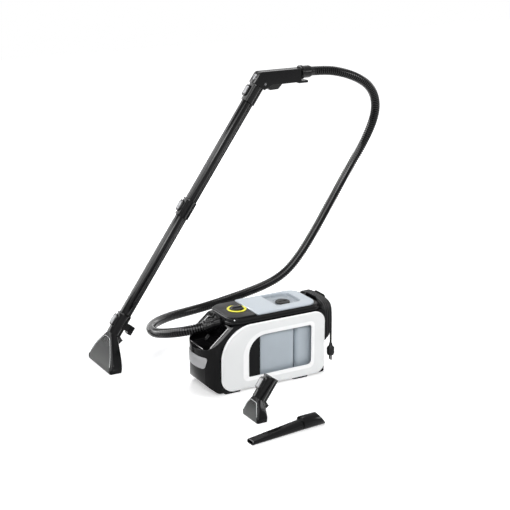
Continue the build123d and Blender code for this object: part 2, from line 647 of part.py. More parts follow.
def hose_cuff():
    """Ribbed grip sleeve on the hose's machine end."""
    start, along = cuff_axis()
    plane = Plane(start - along * (CUFF_LENGTH - CUFF_GRIP), z_dir=along)
    sleeve = extrude(Circle(CUFF_R), CUFF_LENGTH)
    sleeve = chamfer(sleeve.edges().group_by(Axis.Z)[-1], 2.5)
    for k in range(3):
        z = 8 + 7 * k
        sleeve += Pos(0, 0, z) * extrude(Circle(CUFF_R + 1.2), 2.5)
    sleeve -= extrude(Circle(HOSE_BORE_R), CUFF_LENGTH)
    sleeve -= Pos(0, 0, CUFF_LENGTH - CUFF_GRIP) * extrude(Circle(HOSE_ROOT_R), CUFF_GRIP)
    return plane * sleeve


def hose_port():
    """Flanged spout on the scoop's back wall, pointing along the cuff, with the duct behind it."""
    start, along = cuff_axis()
    wall_x = SCOOP_BACK + MACHINE_X
    end = start - along * (CUFF_LENGTH - CUFF_GRIP)
    reach = (wall_x - end.X) / -along.X
    centre = Vector(wall_x, MACHINE_Y, DUCT_Z)
    flange = Pos(*centre) * Rot(0, -90, 0) * extrude(Circle(PORT_FLANGE), 4)
    spout = Plane(end, z_dir=-along) * extrude(Circle(CUFF_R - 2), reach + 25)
    keep = box((end.X - 60, wall_x), (end.Y - 80, end.Y + 80), (DUCT_Z - 80, DUCT_Z + 80))
    port = flange + (spout & keep)
    run = (wall_x - 1, BAY_FRONT + MACHINE_X)
    port += rod_x(run, MACHINE_Y, DUCT_Z, DUCT_R - TOUCH_GAP)
    port -= Plane(end, z_dir=-along) * extrude(Circle(HOSE_BORE_R), reach + 10)
    return port - rod_x((wall_x - 4, run[1]), MACHINE_Y, DUCT_Z, DUCT_R - DUCT_WALL)


def hose_collar():
    """Swivel collar on the hose's handle end."""
    low, high = COLLAR_FRONT, COLLAR_FRONT + COLLAR_LENGTH
    mouth = SWIVEL_END + TOUCH_GAP
    root = COLLAR_FRONT + HOSE_REACH
    points = [
        (low, ELBOW_R + SLIP_GAP), (low, COLLAR_R), (low + 9, COLLAR_R), (low + 12, COLLAR_R - 2.5),
        (high - 10, COLLAR_R - 2.5), (high, HOSE_R + 2), (high, HOSE_ROOT_R + 0.2), (root, HOSE_ROOT_R + 0.2),
        (root, HOSE_BORE_R), (mouth, HOSE_BORE_R), (mouth, ELBOW_R + SLIP_GAP),
    ]
    ring = revolve(make_face(Polyline(*points, close=True)), Axis.X)
    return Pos(0, WAND_AT[1], GRIP_AXIS_Z) * ring


# Power cord

def hank_turn(x, n, first, last):
    """One turn in twelve points: up the far side, over the hook and down the near side."""
    side = HANK_HALF + n * CORD_PITCH
    top = HANK_TOP + n * CORD_PITCH
    return [
        (x, side - HANK_FAR, first), (x, side - HANK_NEAR, first + HANK_NEAR), (x, side, first + HANK_FAR),
        (x, side, top - HANK_FAR), (x, side - HANK_NEAR, top - HANK_NEAR), (x, side - HANK_FAR, top),
        (x, HANK_FAR - side, top), (x, HANK_NEAR - side, top - HANK_NEAR), (x, -side, top - HANK_FAR),
        (x, -side, last + HANK_FAR), (x, HANK_NEAR - side, last + HANK_NEAR), (x, HANK_FAR - side, last),
    ]


def hank_points():
    """Turns over the hook, spiralling in and out layer by layer, with the tail going down the near side."""
    inner, outer = 0, HANK_LOOPS - 1
    x, low = HANK_X, HANK_BOTTOM - HANK_LOOPS * CORD_PITCH
    points = [(x, GLAND_Y + GLAND_LENGTH, low)]
    for layer in range(HANK_LAYERS):
        inward = layer % 2 == 0
        for n in range(outer, inner - 1, -1) if inward else range(HANK_LOOPS):
            after = HANK_BOTTOM - (n - 1 if inward else n) * CORD_PITCH
            points += hank_turn(x, n, low, after)
            low = after
        points += [(x, -16, low), (x + CORD_PITCH, 16, low)]
        x += CORD_PITCH
    return points[:-5] + [(x - CORD_PITCH, points[-6][1], PLUG_TOP)]


def hank_line():
    points = hank_points()
    radii = []
    for a, b, c in zip(points, points[1:], points[2:]):
        climb = (Vector(*b) - Vector(*a)).get_angle(Vector(*c) - Vector(*b)) < 20
        radii.append(3 * HANK_BEND if climb else HANK_BEND)
    return FilletPolyline(*points, radius=radii)


def least_gap(path, reach):
    """Smallest clear distance between turns, measured on points along the cord."""
    count = int(path.length / 6)
    spots = [path @ (k / count) for k in range(count + 1)]
    skip = int(reach / 6)
    least = min((a - b).length for i, a in enumerate(spots) for b in spots[i + skip:])
    return least - 2 * CORD_R


def cord_hank():
    path = hank_line()
    start = Plane(path @ 0, x_dir=(1, 0, 0), z_dir=path % 0)
    section = RegularPolygon(CORD_R, CORD_SIDES, rotation=180 / CORD_SIDES)
    tube = sweep(start * section, path)
    print("cord length", round(path.length), "least gap", round(least_gap(path, 100), 2))
    print("cord volume ratio", round(tube.volume / (section.area * path.length), 4))
    return tube


def cord_hook():
    """Saddle behind the machine with a fence on the wall side and a flange on the outer side."""
    half = HANK_HALF - CORD_R - TOUCH_GAP
    top = HANK_TOP - CORD_R - TOUCH_GAP
    bend = HOOK_BEND - CORD_R - TOUCH_GAP
    outer_end = HANK_X + (HANK_LAYERS - 1) * CORD_PITCH + CORD_R + 1.5
    corners = (-half, HOOK_LEG, half, top)
    arch = rounded_box(corners, [0, 0, bend, bend])
    inner = (-half + HOOK_WALL, HOOK_LEG - 1, half - HOOK_WALL, top - HOOK_WALL)
    arch -= rounded_box(inner, [0, 0, bend - HOOK_WALL, bend - HOOK_WALL])
    facing = Plane((REAR, 0, 0), x_dir=(0, 1, 0), z_dir=(1, 0, 0))
    hook = facing * extrude(arch, outer_end - REAR)
    high = (-HOOK_FENCE_HALF, top - HOOK_WALL, HOOK_FENCE_HALF, HOOK_FENCE_TOP)
    fence = rounded_box(high, [0, 0, 8, 8])
    hook += facing * extrude(fence, 2.5)
    hook += facing.offset(outer_end - REAR) * extrude(fence, 4)
    return hook


def cord_gland():
    """Block on the rear wall with a tapered sleeve round the cord."""
    z = hank_points()[0][2]
    block = box((REAR, HANK_X + CORD_R), (GLAND_Y - 22, GLAND_Y + 4), (z - 7, z + 7))
    block = fillet(block.edges().filter_by(Axis.X), 5)
    end = GLAND_Y + GLAND_LENGTH
    wide = Plane((HANK_X, GLAND_Y + 4, z), x_dir=(1, 0, 0), z_dir=(0, 1, 0)) * Circle(GLAND_R)
    narrow = Plane((HANK_X, end, z), x_dir=(1, 0, 0), z_dir=(0, 1, 0)) * Circle(CORD_R + 0.6)
    return block + loft([wide, narrow])


def plug_place():
    x, y, _ = hank_points()[-1]
    return x, y


def mains_plug():
    """Mains plug hanging from the tail of the cord, with two round pins."""
    x, y = plug_place()
    sections = [(0, 5), (10, 7), (16, PLUG_R), (PLUG_LENGTH - 6, PLUG_R), (PLUG_LENGTH, PLUG_R - 2)]
    faces = [Pos(x, y, PLUG_TOP - drop) * Circle(radius) for drop, radius in sections]
    plug = loft(faces, ruled=True)
    low = PLUG_TOP - PLUG_LENGTH
    for s in (-1, 1):
        pin = disc(x, y + s * PIN_SPREAD / 2, (low - PIN_LENGTH, low), PIN_R)
        plug += chamfer(pin.edges().group_by(Axis.Z)[0], 1.2)
    return plug


# Wand tubes and sockets, drawn along their own axis with +X on the spray pipe's side

def leaning(at):
    lean = radians(LEAN)
    return Plane(at, x_dir=(cos(lean), 0, -sin(lean)), z_dir=(sin(lean), 0, cos(lean)))


def ring(radius, bore, z):
    return disc(0, 0, z, radius) - disc(0, 0, z, bore)


def button_pocket(rim):
    """Well for a lock button on the side away from the spray pipe."""
    mid = rim - BUTTON_STEP
    half = BUTTON_LENGTH / 2 + SLIP_GAP
    wide = BUTTON_WIDTH / 2 + SLIP_GAP
    depth = BUTTON_BOSS - BUTTON_THICK - TOUCH_GAP
    well = box((-BUTTON_BOSS - 5, -depth), (-wide, wide), (mid - half, mid + half))
    return well


def lock_button(rim):
    mid = rim - BUTTON_STEP
    out = BUTTON_BOSS + BUTTON_TRAVEL
    block = box((-out, BUTTON_THICK - out), (-BUTTON_WIDTH / 2, BUTTON_WIDTH / 2), (mid - 15, mid + 15))
    return chamfer(block.faces().sort_by(Axis.X)[0].edges(), 1.5)


def socket(rim, length):
    """Moulded collar with its slip bore, the spray pipe's lobe and the button's boss."""
    low = rim - length
    body = Circle(SOCKET_R) + Pos(PIPE_OFFSET, 0) * Circle(LOBE_R)
    body += Pos(PIPE_OFFSET / 2, 0) * Rectangle(PIPE_OFFSET, 2 * LOBE_R)
    collar = upright(body, (low, rim))
    mid = rim - BUTTON_STEP
    boss = box((-BUTTON_BOSS, 0), (-BUTTON_WIDTH / 2 - 4, BUTTON_WIDTH / 2 + 4), (mid - 21, mid + 21))
    collar += chamfer(boss.edges().filter_by(Axis.X), 6)
    collar += disc(0, 0, (rim - 5, rim), SOCKET_R + 1.5)
    collar -= disc(0, 0, (rim - SOCKET_DEPTH, rim + 1), TUBE_R + SLIP_GAP)
    collar -= button_pocket(rim)
    return collar - disc(PIPE_OFFSET, 0, (low - 1, rim + 1), PIPE_R + 0.1)


def tube_socket(rim):
    low = rim - SOCKET_LENGTH
    return socket(rim, SOCKET_LENGTH) - disc(0, 0, (low - 1, rim), TUBE_R)


def tube(low, high):
    return ring(TUBE_R, TUBE_R - TUBE_WALL, (low, high))


def spray_pipe(low, high):
    return Pos(PIPE_OFFSET, 0, 0) * ring(PIPE_R, PIPE_R - PIPE_WALL, (low, high))


# Handle, drawn in its own upright plane

def axis_point(s):
    """A point of the tube's axis at distance s above the floor nozzle's rim, in X and Z."""
    lean = radians(LEAN)
    return WAND_AT[0] + s * sin(lean), WAND_AT[2] + s * cos(lean)


def beside_axis(s, aside):
    x, z = axis_point(s)
    lean = radians(LEAN)
    return x + aside * cos(lean), z - aside * sin(lean)


def elbow_points():
    start = axis_point(UPPER_RIM - SOCKET_DEPTH)
    rise = (GRIP_AXIS_Z - WAND_AT[2]) / cos(radians(LEAN))
    bend = axis_point(rise)
    y = WAND_AT[1]
    return [(start[0], y, start[1]), (bend[0], y, bend[1]), (SWIVEL_END, y, GRIP_AXIS_Z)]


def elbow_core(radius):
    path = FilletPolyline(*elbow_points(), radius=[ELBOW_BEND])
    return sweep(Plane(path @ 0, z_dir=path % 0) * Circle(radius), path)


def handle_elbow():
    """Suction elbow inside the handle: its lower end is the spigot, its rear end carries the swivel."""
    spigot = leaning(WAND_AT) * disc(0, 0, (UPPER_RIM - SOCKET_DEPTH, UPPER_RIM), TUBE_R)
    return elbow_core(ELBOW_R) + spigot - elbow_core(ELBOW_BORE_R)


def handle_outline():
    rim_out = beside_axis(UPPER_RIM, -SOCKET_R)
    rim_in = beside_axis(UPPER_RIM, PIPE_OFFSET + LOBE_R - 2)
    lean = radians(LEAN)
    top_s = (GRIP_TOP - WAND_AT[2] - SOCKET_R * sin(lean)) / cos(lean)
    top_front = beside_axis(top_s, -SOCKET_R)
    points = [
        rim_in, (TRIGGER_PIVOT[0] + 4, GRIP_BOTTOM - 1), (HEEL_FRONT - 12, GRIP_BOTTOM), (HEEL_FRONT, HEEL_BOTTOM),
        (HEEL_REAR, HEEL_BOTTOM), (HEEL_REAR, HEEL_TOP), (GRIP_REAR, HEEL_TOP), (GRIP_REAR, GRIP_TOP),
        top_front, rim_out,
    ]
    return outline(points, [0, 14, 8, 8, 3, 2, 0, 3, 16, 0])


def trigger_outline(grow=0.0):
    x, z = TRIGGER_PIVOT
    points = [
        (x - 8, z - 8), (x - 2, z - 19), (x + 32, z - 18), (x + 48, z - 2), (x + 48, z + 6), (x - 5, z + 6),
    ]
    face = outline(points, [5, 4, 8, 3, 2, 4])
    return offset(face, grow) if grow else face


def handle_body():
    y = (WAND_AT[1] - GRIP_HALF, WAND_AT[1] + GRIP_HALF)
    body = across(handle_outline(), y)
    rounded = body.faces().sort_by(Axis.Y)
    body = fillet(rounded[0].edges() + rounded[-1].edges(), GRIP_EDGE)
    body -= elbow_core(ELBOW_R)
    x, z = TRIGGER_PIVOT
    half = TRIGGER_HALF + 0.6
    pocket = across(
        make_face(Polyline((x - 14, z - 40), (x + 54, z - 40), (x + 54, POCKET_TOP), (x - 8, POCKET_TOP - 4),
                           (x - 14, z + 4), close=True)),
        (WAND_AT[1] - half, WAND_AT[1] + half),
    )
    body -= pocket
    reach = GRIP_HALF - 4
    body -= rod_y(x, (WAND_AT[1] - reach, WAND_AT[1] + reach), z, TRIGGER_PIN_R + RUN_GAP)
    body -= rod_x((x + 54, x + 92), WAND_AT[1], SPRAY_VALVE_Z, SPRAY_VALVE_R)
    return body - leaning(WAND_AT) * relief_well()


def handle_shell(side):
    y = WAND_AT[1]
    keep = (y, y + 60) if side > 0 else (y - 60, y)
    return handle_body() & box((RIM_X - 110, RIM_X + 290), keep, (RIM_Z - 124, RIM_Z + 176))


def relief_well():
    low = UPPER_RIM + 12
    long = low + RELIEF_LENGTH + RELIEF_TRAVEL + SLIP_GAP
    wide = RELIEF_WIDTH / 2 + SLIP_GAP
    depth = SOCKET_R - RELIEF_THICK + 1
    return box((-SOCKET_R - 5, -depth), (-wide, wide), (low - SLIP_GAP, long))


def relief_slide():
    """Ridged slide that opens the suction relief at the bend."""
    low = UPPER_RIM + 12
    deep = SOCKET_R - RELIEF_THICK + 1 + TOUCH_GAP
    half = RELIEF_WIDTH / 2
    block = box((-SOCKET_R - 2, -deep), (-half, half), (low, low + RELIEF_LENGTH))
    block = chamfer(block.edges().filter_by(Axis.X), 4)
    for k in range(3):
        z = low + 6 + 4 * k
        block -= box((-SOCKET_R - 3, -SOCKET_R - 1), (-half, half), (z - 0.8, z + 0.8))
    return leaning(WAND_AT) * block


def trigger():
    """Trigger lever with pivot stubs that turn in the two shells."""
    lever = across(trigger_outline(), (WAND_AT[1] - TRIGGER_HALF, WAND_AT[1] + TRIGGER_HALF))
    reach = GRIP_HALF - 5
    y = (WAND_AT[1] - reach, WAND_AT[1] + reach)
    return lever + rod_y(TRIGGER_PIVOT[0], y, TRIGGER_PIVOT[1], TRIGGER_PIN_R)


def spray_valve():
    x = TRIGGER_PIVOT[0] + 54
    body = rod_x((x + 2, x + 38), WAND_AT[1], SPRAY_VALVE_Z, SPRAY_VALVE_R)
    return body + rod_x((x - 2, x + 2), WAND_AT[1], SPRAY_VALVE_Z, SPRAY_VALVE_R - 4)


# Nozzle heads

def mouth_outline(mouth, z, inset):
    x, depth, width = mouth
    face = RectangleRounded(depth - 2 * inset, width - 2 * inset, max(6 - inset, 1.5))
    return Pos(x, 0, z) * face


def neck_outline(at, inset):
    plane = leaning((at[0], 0, at[2])).offset(-NOZZLE_SOCKET_LENGTH)
    return plane * RectangleRounded(NECK_DEPTH - 2 * inset, NECK_WIDTH - 2 * inset, max(14 - inset, 3))


def waist_outline(at, mouth, inset):
    """Section halfway up, pulled in so that the sides flare towards the mouth."""
    neck = leaning((at[0], 0, at[2])).offset(-NOZZLE_SOCKET_LENGTH)
    middle = (neck.origin + Vector(mouth[0], 0, MOUTH_LIP)) / 2
    plane = Plane(middle, x_dir=neck.x_dir + Vector(1, 0, 0), z_dir=neck.z_dir + Vector(0, 0, 1))
    width = NECK_WIDTH + WAIST_SHARE * (mouth[2] - NECK_WIDTH)
    depth = (NECK_DEPTH + mouth[1]) / 2
    return plane * RectangleRounded(depth - 2 * inset, width - 2 * inset, max(8 - inset, 2))


def nozzle_form(at, mouth, inset):
    faces = [mouth_outline(mouth, z, inset) for z in (0, MOUTH_LIP)]
    faces += [waist_outline(at, mouth, inset), neck_outline(at, inset)]
    return Pos(0, at[1], 0) * loft(faces, ruled=True)


def nozzle_shell(at, mouth):
    return nozzle_form(at, mouth, 0) - nozzle_form(at, mouth, MOUTH_WALL)


def front_half(at, mouth):
    """The space in front of the plane where the clear cover meets the black body."""
    x_low = mouth[0] - mouth[1] / 2
    neck = leaning(at).offset(-NOZZLE_SOCKET_LENGTH)
    top = neck.from_local_coords((-NECK_DEPTH / 2, 0, 0))
    run = Vector(top.X - x_low, 0, top.Z - MOUTH_LIP).normalized()
    plane = Plane((x_low, at[1], MOUTH_LIP), x_dir=run, z_dir=(-run.Z, 0, run.X))
    return plane.offset(-WINDOW_TRAY) * Pos(0, 0, 100) * Box(600, 400, 200)


def nozzle_body(at, mouth):
    return nozzle_shell(at, mouth) - front_half(at, mouth)


def nozzle_window(at, mouth):
    return nozzle_shell(at, mouth) & front_half(at, mouth)


def parking_lug():
    """Lug on the back of the floor nozzle's socket."""
    web = box((PIPE_OFFSET + LOBE_R - 2, 48), (-6, 6), (-50, -24))
    lug = box((46, 62), (-11, 11), (-57, -25))
    return web + fillet(lug.edges().filter_by(Axis.Y), 3)


def nozzle_socket(at, lug=False):
    low = -NOZZLE_SOCKET_LENGTH
    body = socket(0, NOZZLE_SOCKET_LENGTH) - disc(0, 0, (low - 1, 0), TUBE_R - TUBE_WALL)
    if lug:
        body += parking_lug()
    return leaning(at) * body


def spray_jet(at):
    """Spray tip on a short stem below the socket, aimed at the mouth's rear edge."""
    low = -NOZZLE_SOCKET_LENGTH
    stem = disc(PIPE_OFFSET, 0, (low - 1, low + 14), PIPE_R - 0.2)
    tip = Pos(JET_OFFSET, 0, low - 13) * Rot(0, 20, 0) * extrude(Circle(JET_R), JET_LENGTH / 2, both=True)
    tip = chamfer(tip.edges().group_by(Axis.Z)[0], 2)
    arm = box((PIPE_OFFSET - 2, JET_OFFSET), (-PIPE_R + 1, PIPE_R - 1), (low - 9, low))
    return leaning(at) * (stem + arm + tip)


# Crevice tool, drawn along X from its tip

def crevice_section(x, width, height, inset):
    face = RectangleRounded(width - 2 * inset, height - 2 * inset, height / 2 - inset - 0.6)
    return Plane((x, 0, height / 2), x_dir=(0, 1, 0), z_dir=(1, 0, 0)) * face


def crevice_tool():
    tip = (CREVICE_TIP_WIDTH, CREVICE_TIP_HEIGHT)
    neck = (CREVICE_NECK_WIDTH, CREVICE_NECK_HEIGHT)
    blade = loft([crevice_section(0, *tip, 0), crevice_section(CREVICE_NECK, *neck, 0)], ruled=True)
    end = CREVICE_LENGTH
    axis_z = CREVICE_SOCKET_R
    body = blade + rod_x((CREVICE_NECK - 6, end), 0, axis_z, CREVICE_SOCKET_R)
    body += rod_x((end - 5, end), 0, axis_z, CREVICE_SOCKET_R) - rod_x((end - 5, end), 0, axis_z, CREVICE_SOCKET_R - 1)
    hollow = [crevice_section(x, *size, CREVICE_WALL) for x, size in ((0, tip), (CREVICE_NECK, neck))]
    body -= loft(hollow, ruled=True)
    body -= rod_x((CREVICE_NECK - 1, end), 0, axis_z, TUBE_R - TUBE_WALL)
    body -= rod_x((end - SOCKET_DEPTH, end + 1), 0, axis_z, TUBE_R + SLIP_GAP)
    slant = Pos(0, 0, CREVICE_TIP_HEIGHT) * Rot(0, 40, 0) * Box(24, 60, 40)
    body -= Pos(-12, 0, 0) * slant
    return Pos(*CREVICE_TIP, 0) * Rot(0, 0, CREVICE_YAW) * body


def machine_nodes():
    return {
        "lower_housing": lower_housing(), "rubber_feet": rubber_feet(), "base_screws": base_screws(),
        "side_panel_near": side_panel(-1), "side_panel_far": side_panel(1), "badge_plate": badge_plate(),
        "top_cover": top_cover(), "control_panel": control_panel(), "dial_ring": dial_ring(),
        "selector_knob": selector_knob(), "switch_block": switch_block(),
        "inlet_seals": inlet_seals(), "air_duct": air_duct(),
        "turbine_motor": turbine_motor(), "fan_housing": fan_housing(),
        "turbine_rotor": turbine_rotor(), "water_pump": water_pump(),
        "feed_tube": feed_tube(), "delivery_tube": delivery_tube(),
        "dirty_tank": dirty_tank(), "fresh_tank": fresh_tank(),
        "tank_divider": tank_divider(),
        "tank_lid": tank_lid(), "lid_seal": lid_seal(), "lid_lock": lid_lock(),
        "shutoff_float": shutoff_float(),
        "cord_hook": cord_hook(), "cord_gland": cord_gland(), "cord_hank": cord_hank(),
        "mains_plug": mains_plug(),
    }


def wand_nodes():
    wand = leaning(WAND_AT)
    lower_end, upper_end = LOWER_RIM - SOCKET_LENGTH, UPPER_RIM - SOCKET_LENGTH
    return {
        "lower_tube": wand * tube(-SOCKET_DEPTH + 1, lower_end + 14),
        "lower_socket": wand * tube_socket(LOWER_RIM),
        "upper_tube": wand * tube(LOWER_RIM - SOCKET_DEPTH + 1, upper_end + 14),
        "upper_socket": wand * tube_socket(UPPER_RIM),
        "lower_spray_pipe": wand * spray_pipe(PIPE_START - NOZZLE_SOCKET_LENGTH, LOWER_RIM - PIPE_JOINT),
        "upper_spray_pipe": wand * spray_pipe(LOWER_RIM - PIPE_JOINT + PIPE_BREAK, UPPER_RIM - PIPE_END),
        "nozzle_lock": wand * lock_button(0), "tube_lock": wand * lock_button(LOWER_RIM),
        "handle_lock": wand * lock_button(UPPER_RIM),
        "handle_shell_near": handle_shell(-1), "handle_shell_far": handle_shell(1),
        "handle_elbow": handle_elbow(), "relief_slide": relief_slide(), "trigger": trigger(),
        "spray_valve": spray_valve(),
        "floor_nozzle_socket": nozzle_socket(WAND_AT, lug=True), "floor_nozzle_body": nozzle_body(WAND_AT, FLOOR_MOUTH),
        "floor_nozzle_window": nozzle_window(WAND_AT, FLOOR_MOUTH),
        "floor_spray_jet": spray_jet(WAND_AT),
    }


def loose_nodes():
    return {
        "suction_hose": suction_hose(), "hose_cuff": hose_cuff(), "hose_port": hose_port(),
        "hose_collar": hose_collar(),
        "hand_nozzle_socket": nozzle_socket(HAND_AT), "hand_nozzle_body": nozzle_body(HAND_AT, HAND_MOUTH),
        "hand_nozzle_window": nozzle_window(HAND_AT, HAND_MOUTH),
        "hand_spray_jet": spray_jet(HAND_AT), "hand_lock": leaning(HAND_AT) * lock_button(0),
        "crevice_tool": crevice_tool(),
    }


def main():
    os.makedirs("parts", exist_ok=True)
    nodes = {name: Pos(MACHINE_X, MACHINE_Y, 0) * solid for name, solid in machine_nodes().items()}
    nodes.update(wand_nodes())
    nodes.update(loose_nodes())
    for name, solid in nodes.items():
        export_step(solid, f"parts/{name}.step")


main()
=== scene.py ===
import json
import math
import bpy
from mathutils import Matrix, Vector

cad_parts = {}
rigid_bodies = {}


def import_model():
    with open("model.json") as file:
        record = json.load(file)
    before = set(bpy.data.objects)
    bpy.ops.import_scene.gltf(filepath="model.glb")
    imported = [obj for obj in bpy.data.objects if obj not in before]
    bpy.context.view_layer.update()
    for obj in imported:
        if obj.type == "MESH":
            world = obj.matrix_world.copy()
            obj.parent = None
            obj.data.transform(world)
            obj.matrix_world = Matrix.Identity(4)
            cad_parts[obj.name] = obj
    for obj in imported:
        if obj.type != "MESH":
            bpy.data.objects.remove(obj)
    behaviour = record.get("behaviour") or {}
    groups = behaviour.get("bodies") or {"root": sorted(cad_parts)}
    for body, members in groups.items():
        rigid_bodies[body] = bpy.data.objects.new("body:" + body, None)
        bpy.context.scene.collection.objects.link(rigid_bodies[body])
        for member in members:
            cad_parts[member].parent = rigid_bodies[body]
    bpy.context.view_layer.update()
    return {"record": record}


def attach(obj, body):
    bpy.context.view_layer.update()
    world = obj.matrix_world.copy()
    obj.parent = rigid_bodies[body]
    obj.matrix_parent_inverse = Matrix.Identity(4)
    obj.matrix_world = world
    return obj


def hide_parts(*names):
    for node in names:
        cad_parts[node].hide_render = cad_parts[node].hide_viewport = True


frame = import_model()

bl_info = {
    "name": "Carpet cleaner set",
    "version": (1, 0, 0),
    "blender": (4, 5, 0),
    "location": "View3D > Sidebar > Cleaner",
    "description": "Dresses the carpet cleaner, its hose, wand and tools, and sets the studio",
    "category": "Object",
}

# Places and lengths are in metres. The machine's own trims and the hank are placed from this point.
MACHINE = Vector((0.018, 0.015, 0.0))

# The hose's route from the cuff to the collar
HOSE_ROUTE = [
    (-0.162, 0.027, 0.212), (-0.207, 0.046, 0.199), (-0.246, 0.082, 0.185), (-0.270, 0.134, 0.169),
    (-0.277, 0.193, 0.152), (-0.262, 0.262, 0.138), (-0.228, 0.329, 0.126), (-0.174, 0.385, 0.116),
    (-0.104, 0.427, 0.109), (-0.024, 0.452, 0.104), (0.058, 0.4605, 0.107), (0.138, 0.4585, 0.119),
    (0.216, 0.447, 0.137), (0.290, 0.432, 0.159), (0.356, 0.420, 0.191), (0.410, 0.418, 0.237),
    (0.463, 0.422, 0.297), (0.515, 0.429, 0.362), (0.568, 0.437, 0.432), (0.620, 0.443, 0.503),
    (0.668, 0.443, 0.575), (0.706, 0.434, 0.638), (0.731, 0.419, 0.703), (0.740, 0.398, 0.768),
    (0.725, 0.377, 0.829), (0.685, 0.361, 0.883), (0.626, 0.356, 0.919), (0.563, 0.358, 0.942),
    (0.496, 0.365, 0.955), (0.428, 0.365, 0.955),
]
# One rib of the hose: each step along it as a share of the pitch, and the height that the step
# reaches as a share of the rib's
RIB_STEPS = [(0.24, 1.0), (0.52, 1.0), (0.24, 0.0)]
HOSE_SIDES = 20
RIB_WELD = 0.0002

# The hank over the hook: its innermost turn's half width, top and bottom, how many turns lie side
# by side and in how many layers, and where the first one starts (X and Y)
CORD_PITCH = 0.0077
HANK_SIDE, HANK_TOP, HANK_BOTTOM = 0.070, 0.238, 0.122
HANK_LOOPS, HANK_LAYERS = 3, 4
HANK_START = (0.2145, 0.042)
# A turn's corner: how far its middle point and its end points lie from the sharp corner
CORNER_NEAR, CORNER_FAR = 0.010, 0.034
# Half the width over which the cord steps from layer to layer
LAYER_STEP = 0.016
# The points at the end of the last turn that give way to the tail, and the height of the plug's top
TAIL_POINTS, PLUG_TOP = 5, 0.104

# Nozzle heads: where the socket starts, the mouth's middle in X and the mouth's width
NOZZLES = {
    "floor": (Vector((-0.3145, 0.365, 0.1744)), -0.392, 0.194),
    "hand": (Vector((-0.100, -0.275, 0.127)), -0.157, 0.098),
}
LEAN = math.radians(35)
ALONG_SOCKET = Vector((math.sin(LEAN), 0, math.cos(LEAN)))
SOCKET_LENGTH, MOUTH_LIP, NECK_HALF = 0.078, 0.014, 0.021
# The solids' sides are straight from mouth to waist to neck, and the dressed ones follow one curve
WAIST_SHARE, SWELL, FLARE_CUTS = 0.34, 1.35, 12
# Width of the black frame round each clear cover
COVER_BORDERS = {"floor": 0.0135, "hand": 0.0085}

CREVICE_TIP = Vector((-0.265, -0.436, 0))
CREVICE_YAW = math.radians(4)
CREVICE_LENGTH, CREVICE_SLANT = 0.275, 0.74

# Points closer than this are one
WELD = 0.00001
# Angles in degrees past which an edge isn't shaded smooth
FORM_ANGLE, TURNED_ANGLE, BEAD_ANGLE = 40, 38, 60


# Small helpers shared by the pieces

def leave():
    bpy.ops.object.mode_set(mode="OBJECT")


def deselect():
    if bpy.context.object and bpy.context.object.mode != "OBJECT":
        leave()
    bpy.ops.object.select_all(action="DESELECT")


def hold(obj):
    deselect()
    obj.select_set(True)
    bpy.context.view_layer.objects.active = obj
    return obj


def add(name, data):
    obj = bpy.data.objects.new(name, data)
    bpy.context.collection.objects.link(obj)
    return obj


def apply_place(obj):
    hold(obj)
    bpy.ops.object.transform_apply(location=True, rotation=True, scale=True)
    return obj


def modify(obj, kind, **settings):
    hold(obj)
    name = kind.title()
    modifier = obj.modifiers.new(name, kind)
    for key, value in settings.items():
        setattr(modifier, key, value)
    bpy.ops.object.modifier_apply(modifier=name)
    return obj


def edit_all(obj, mode="FACE"):
    """Enter edit mode with the whole mesh chosen."""
    hold(obj)
    bpy.ops.object.mode_set(mode="EDIT")
    bpy.ops.mesh.select_mode(type=mode)
    bpy.ops.mesh.select_all(action="SELECT")


def edit_ring(obj, x):
    """Enter edit mode with the ring of points chosen that lies at one place along X."""
    edit_all(obj, "VERT")
    bpy.ops.mesh.select_all(action="DESELECT")
    leave()
    for vertex in obj.data.vertices:
        vertex.select = abs(vertex.co.x - x) < WELD
    bpy.ops.object.mode_set(mode="EDIT")


def smooth(obj, degrees):
    hold(obj)
    bpy.ops.object.shade_smooth_by_angle(angle=math.radians(degrees))
    return obj


def dress(obj, name, body, material, nodes=()):
    """Name a finished piece, give it its finish, tie it to its body and hide the solids it
    replaces.
    """
    obj.name = name
    obj.data.name = name
    obj.data.materials.clear()
    obj.data.materials.append(material)
    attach(obj, body)
    if nodes:
        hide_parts(*nodes)
    return obj


def spline_curve(name, points, bevel=0.0):
    """One open smooth spline through given control points."""
    data = bpy.data.curves.new(name, "CURVE")
    data.dimensions = "3D"
    spline = data.splines.new("NURBS")
    spline.points.add(len(points) - 1)
    for knot, point in zip(spline.points, points):
        knot.co = (*point, 1.0)
    spline.order_u = 3
    spline.use_endpoint_u = True
    spline.resolution_u = 12
    data.bevel_depth = bevel
    data.bevel_resolution = 4
    data.use_fill_caps = True
    return add(name, data)


def line_points(curve):
    """Points along a curve that has no bevel."""
    bpy.context.view_layer.update()
    ready = curve.evaluated_get(bpy.context.evaluated_depsgraph_get())
    mesh = bpy.data.meshes.new_from_object(ready)
    points = [v.co.copy() for v in mesh.vertices]
    bpy.data.meshes.remove(mesh)
    return points


def path_length(points):
    return sum((b - a).length for a, b in zip(points, points[1:]))


def nozzle_line(kind):
    """A nozzle head's foot, the run from there to its neck, and its middle and half width in Y."""
    at, mouth, width = NOZZLES[kind]
    foot = Vector((mouth, 0, MOUTH_LIP))
    neck = Vector((at.x, 0, at.z)) - ALONG_SOCKET * SOCKET_LENGTH
    return foot, neck - foot, at.y, width / 2


def flared_half(half, share):
    """A nozzle head's half width at a share of the way from its mouth to its neck."""
    return half - (half - NECK_HALF) * share ** SWELL


# Finishes

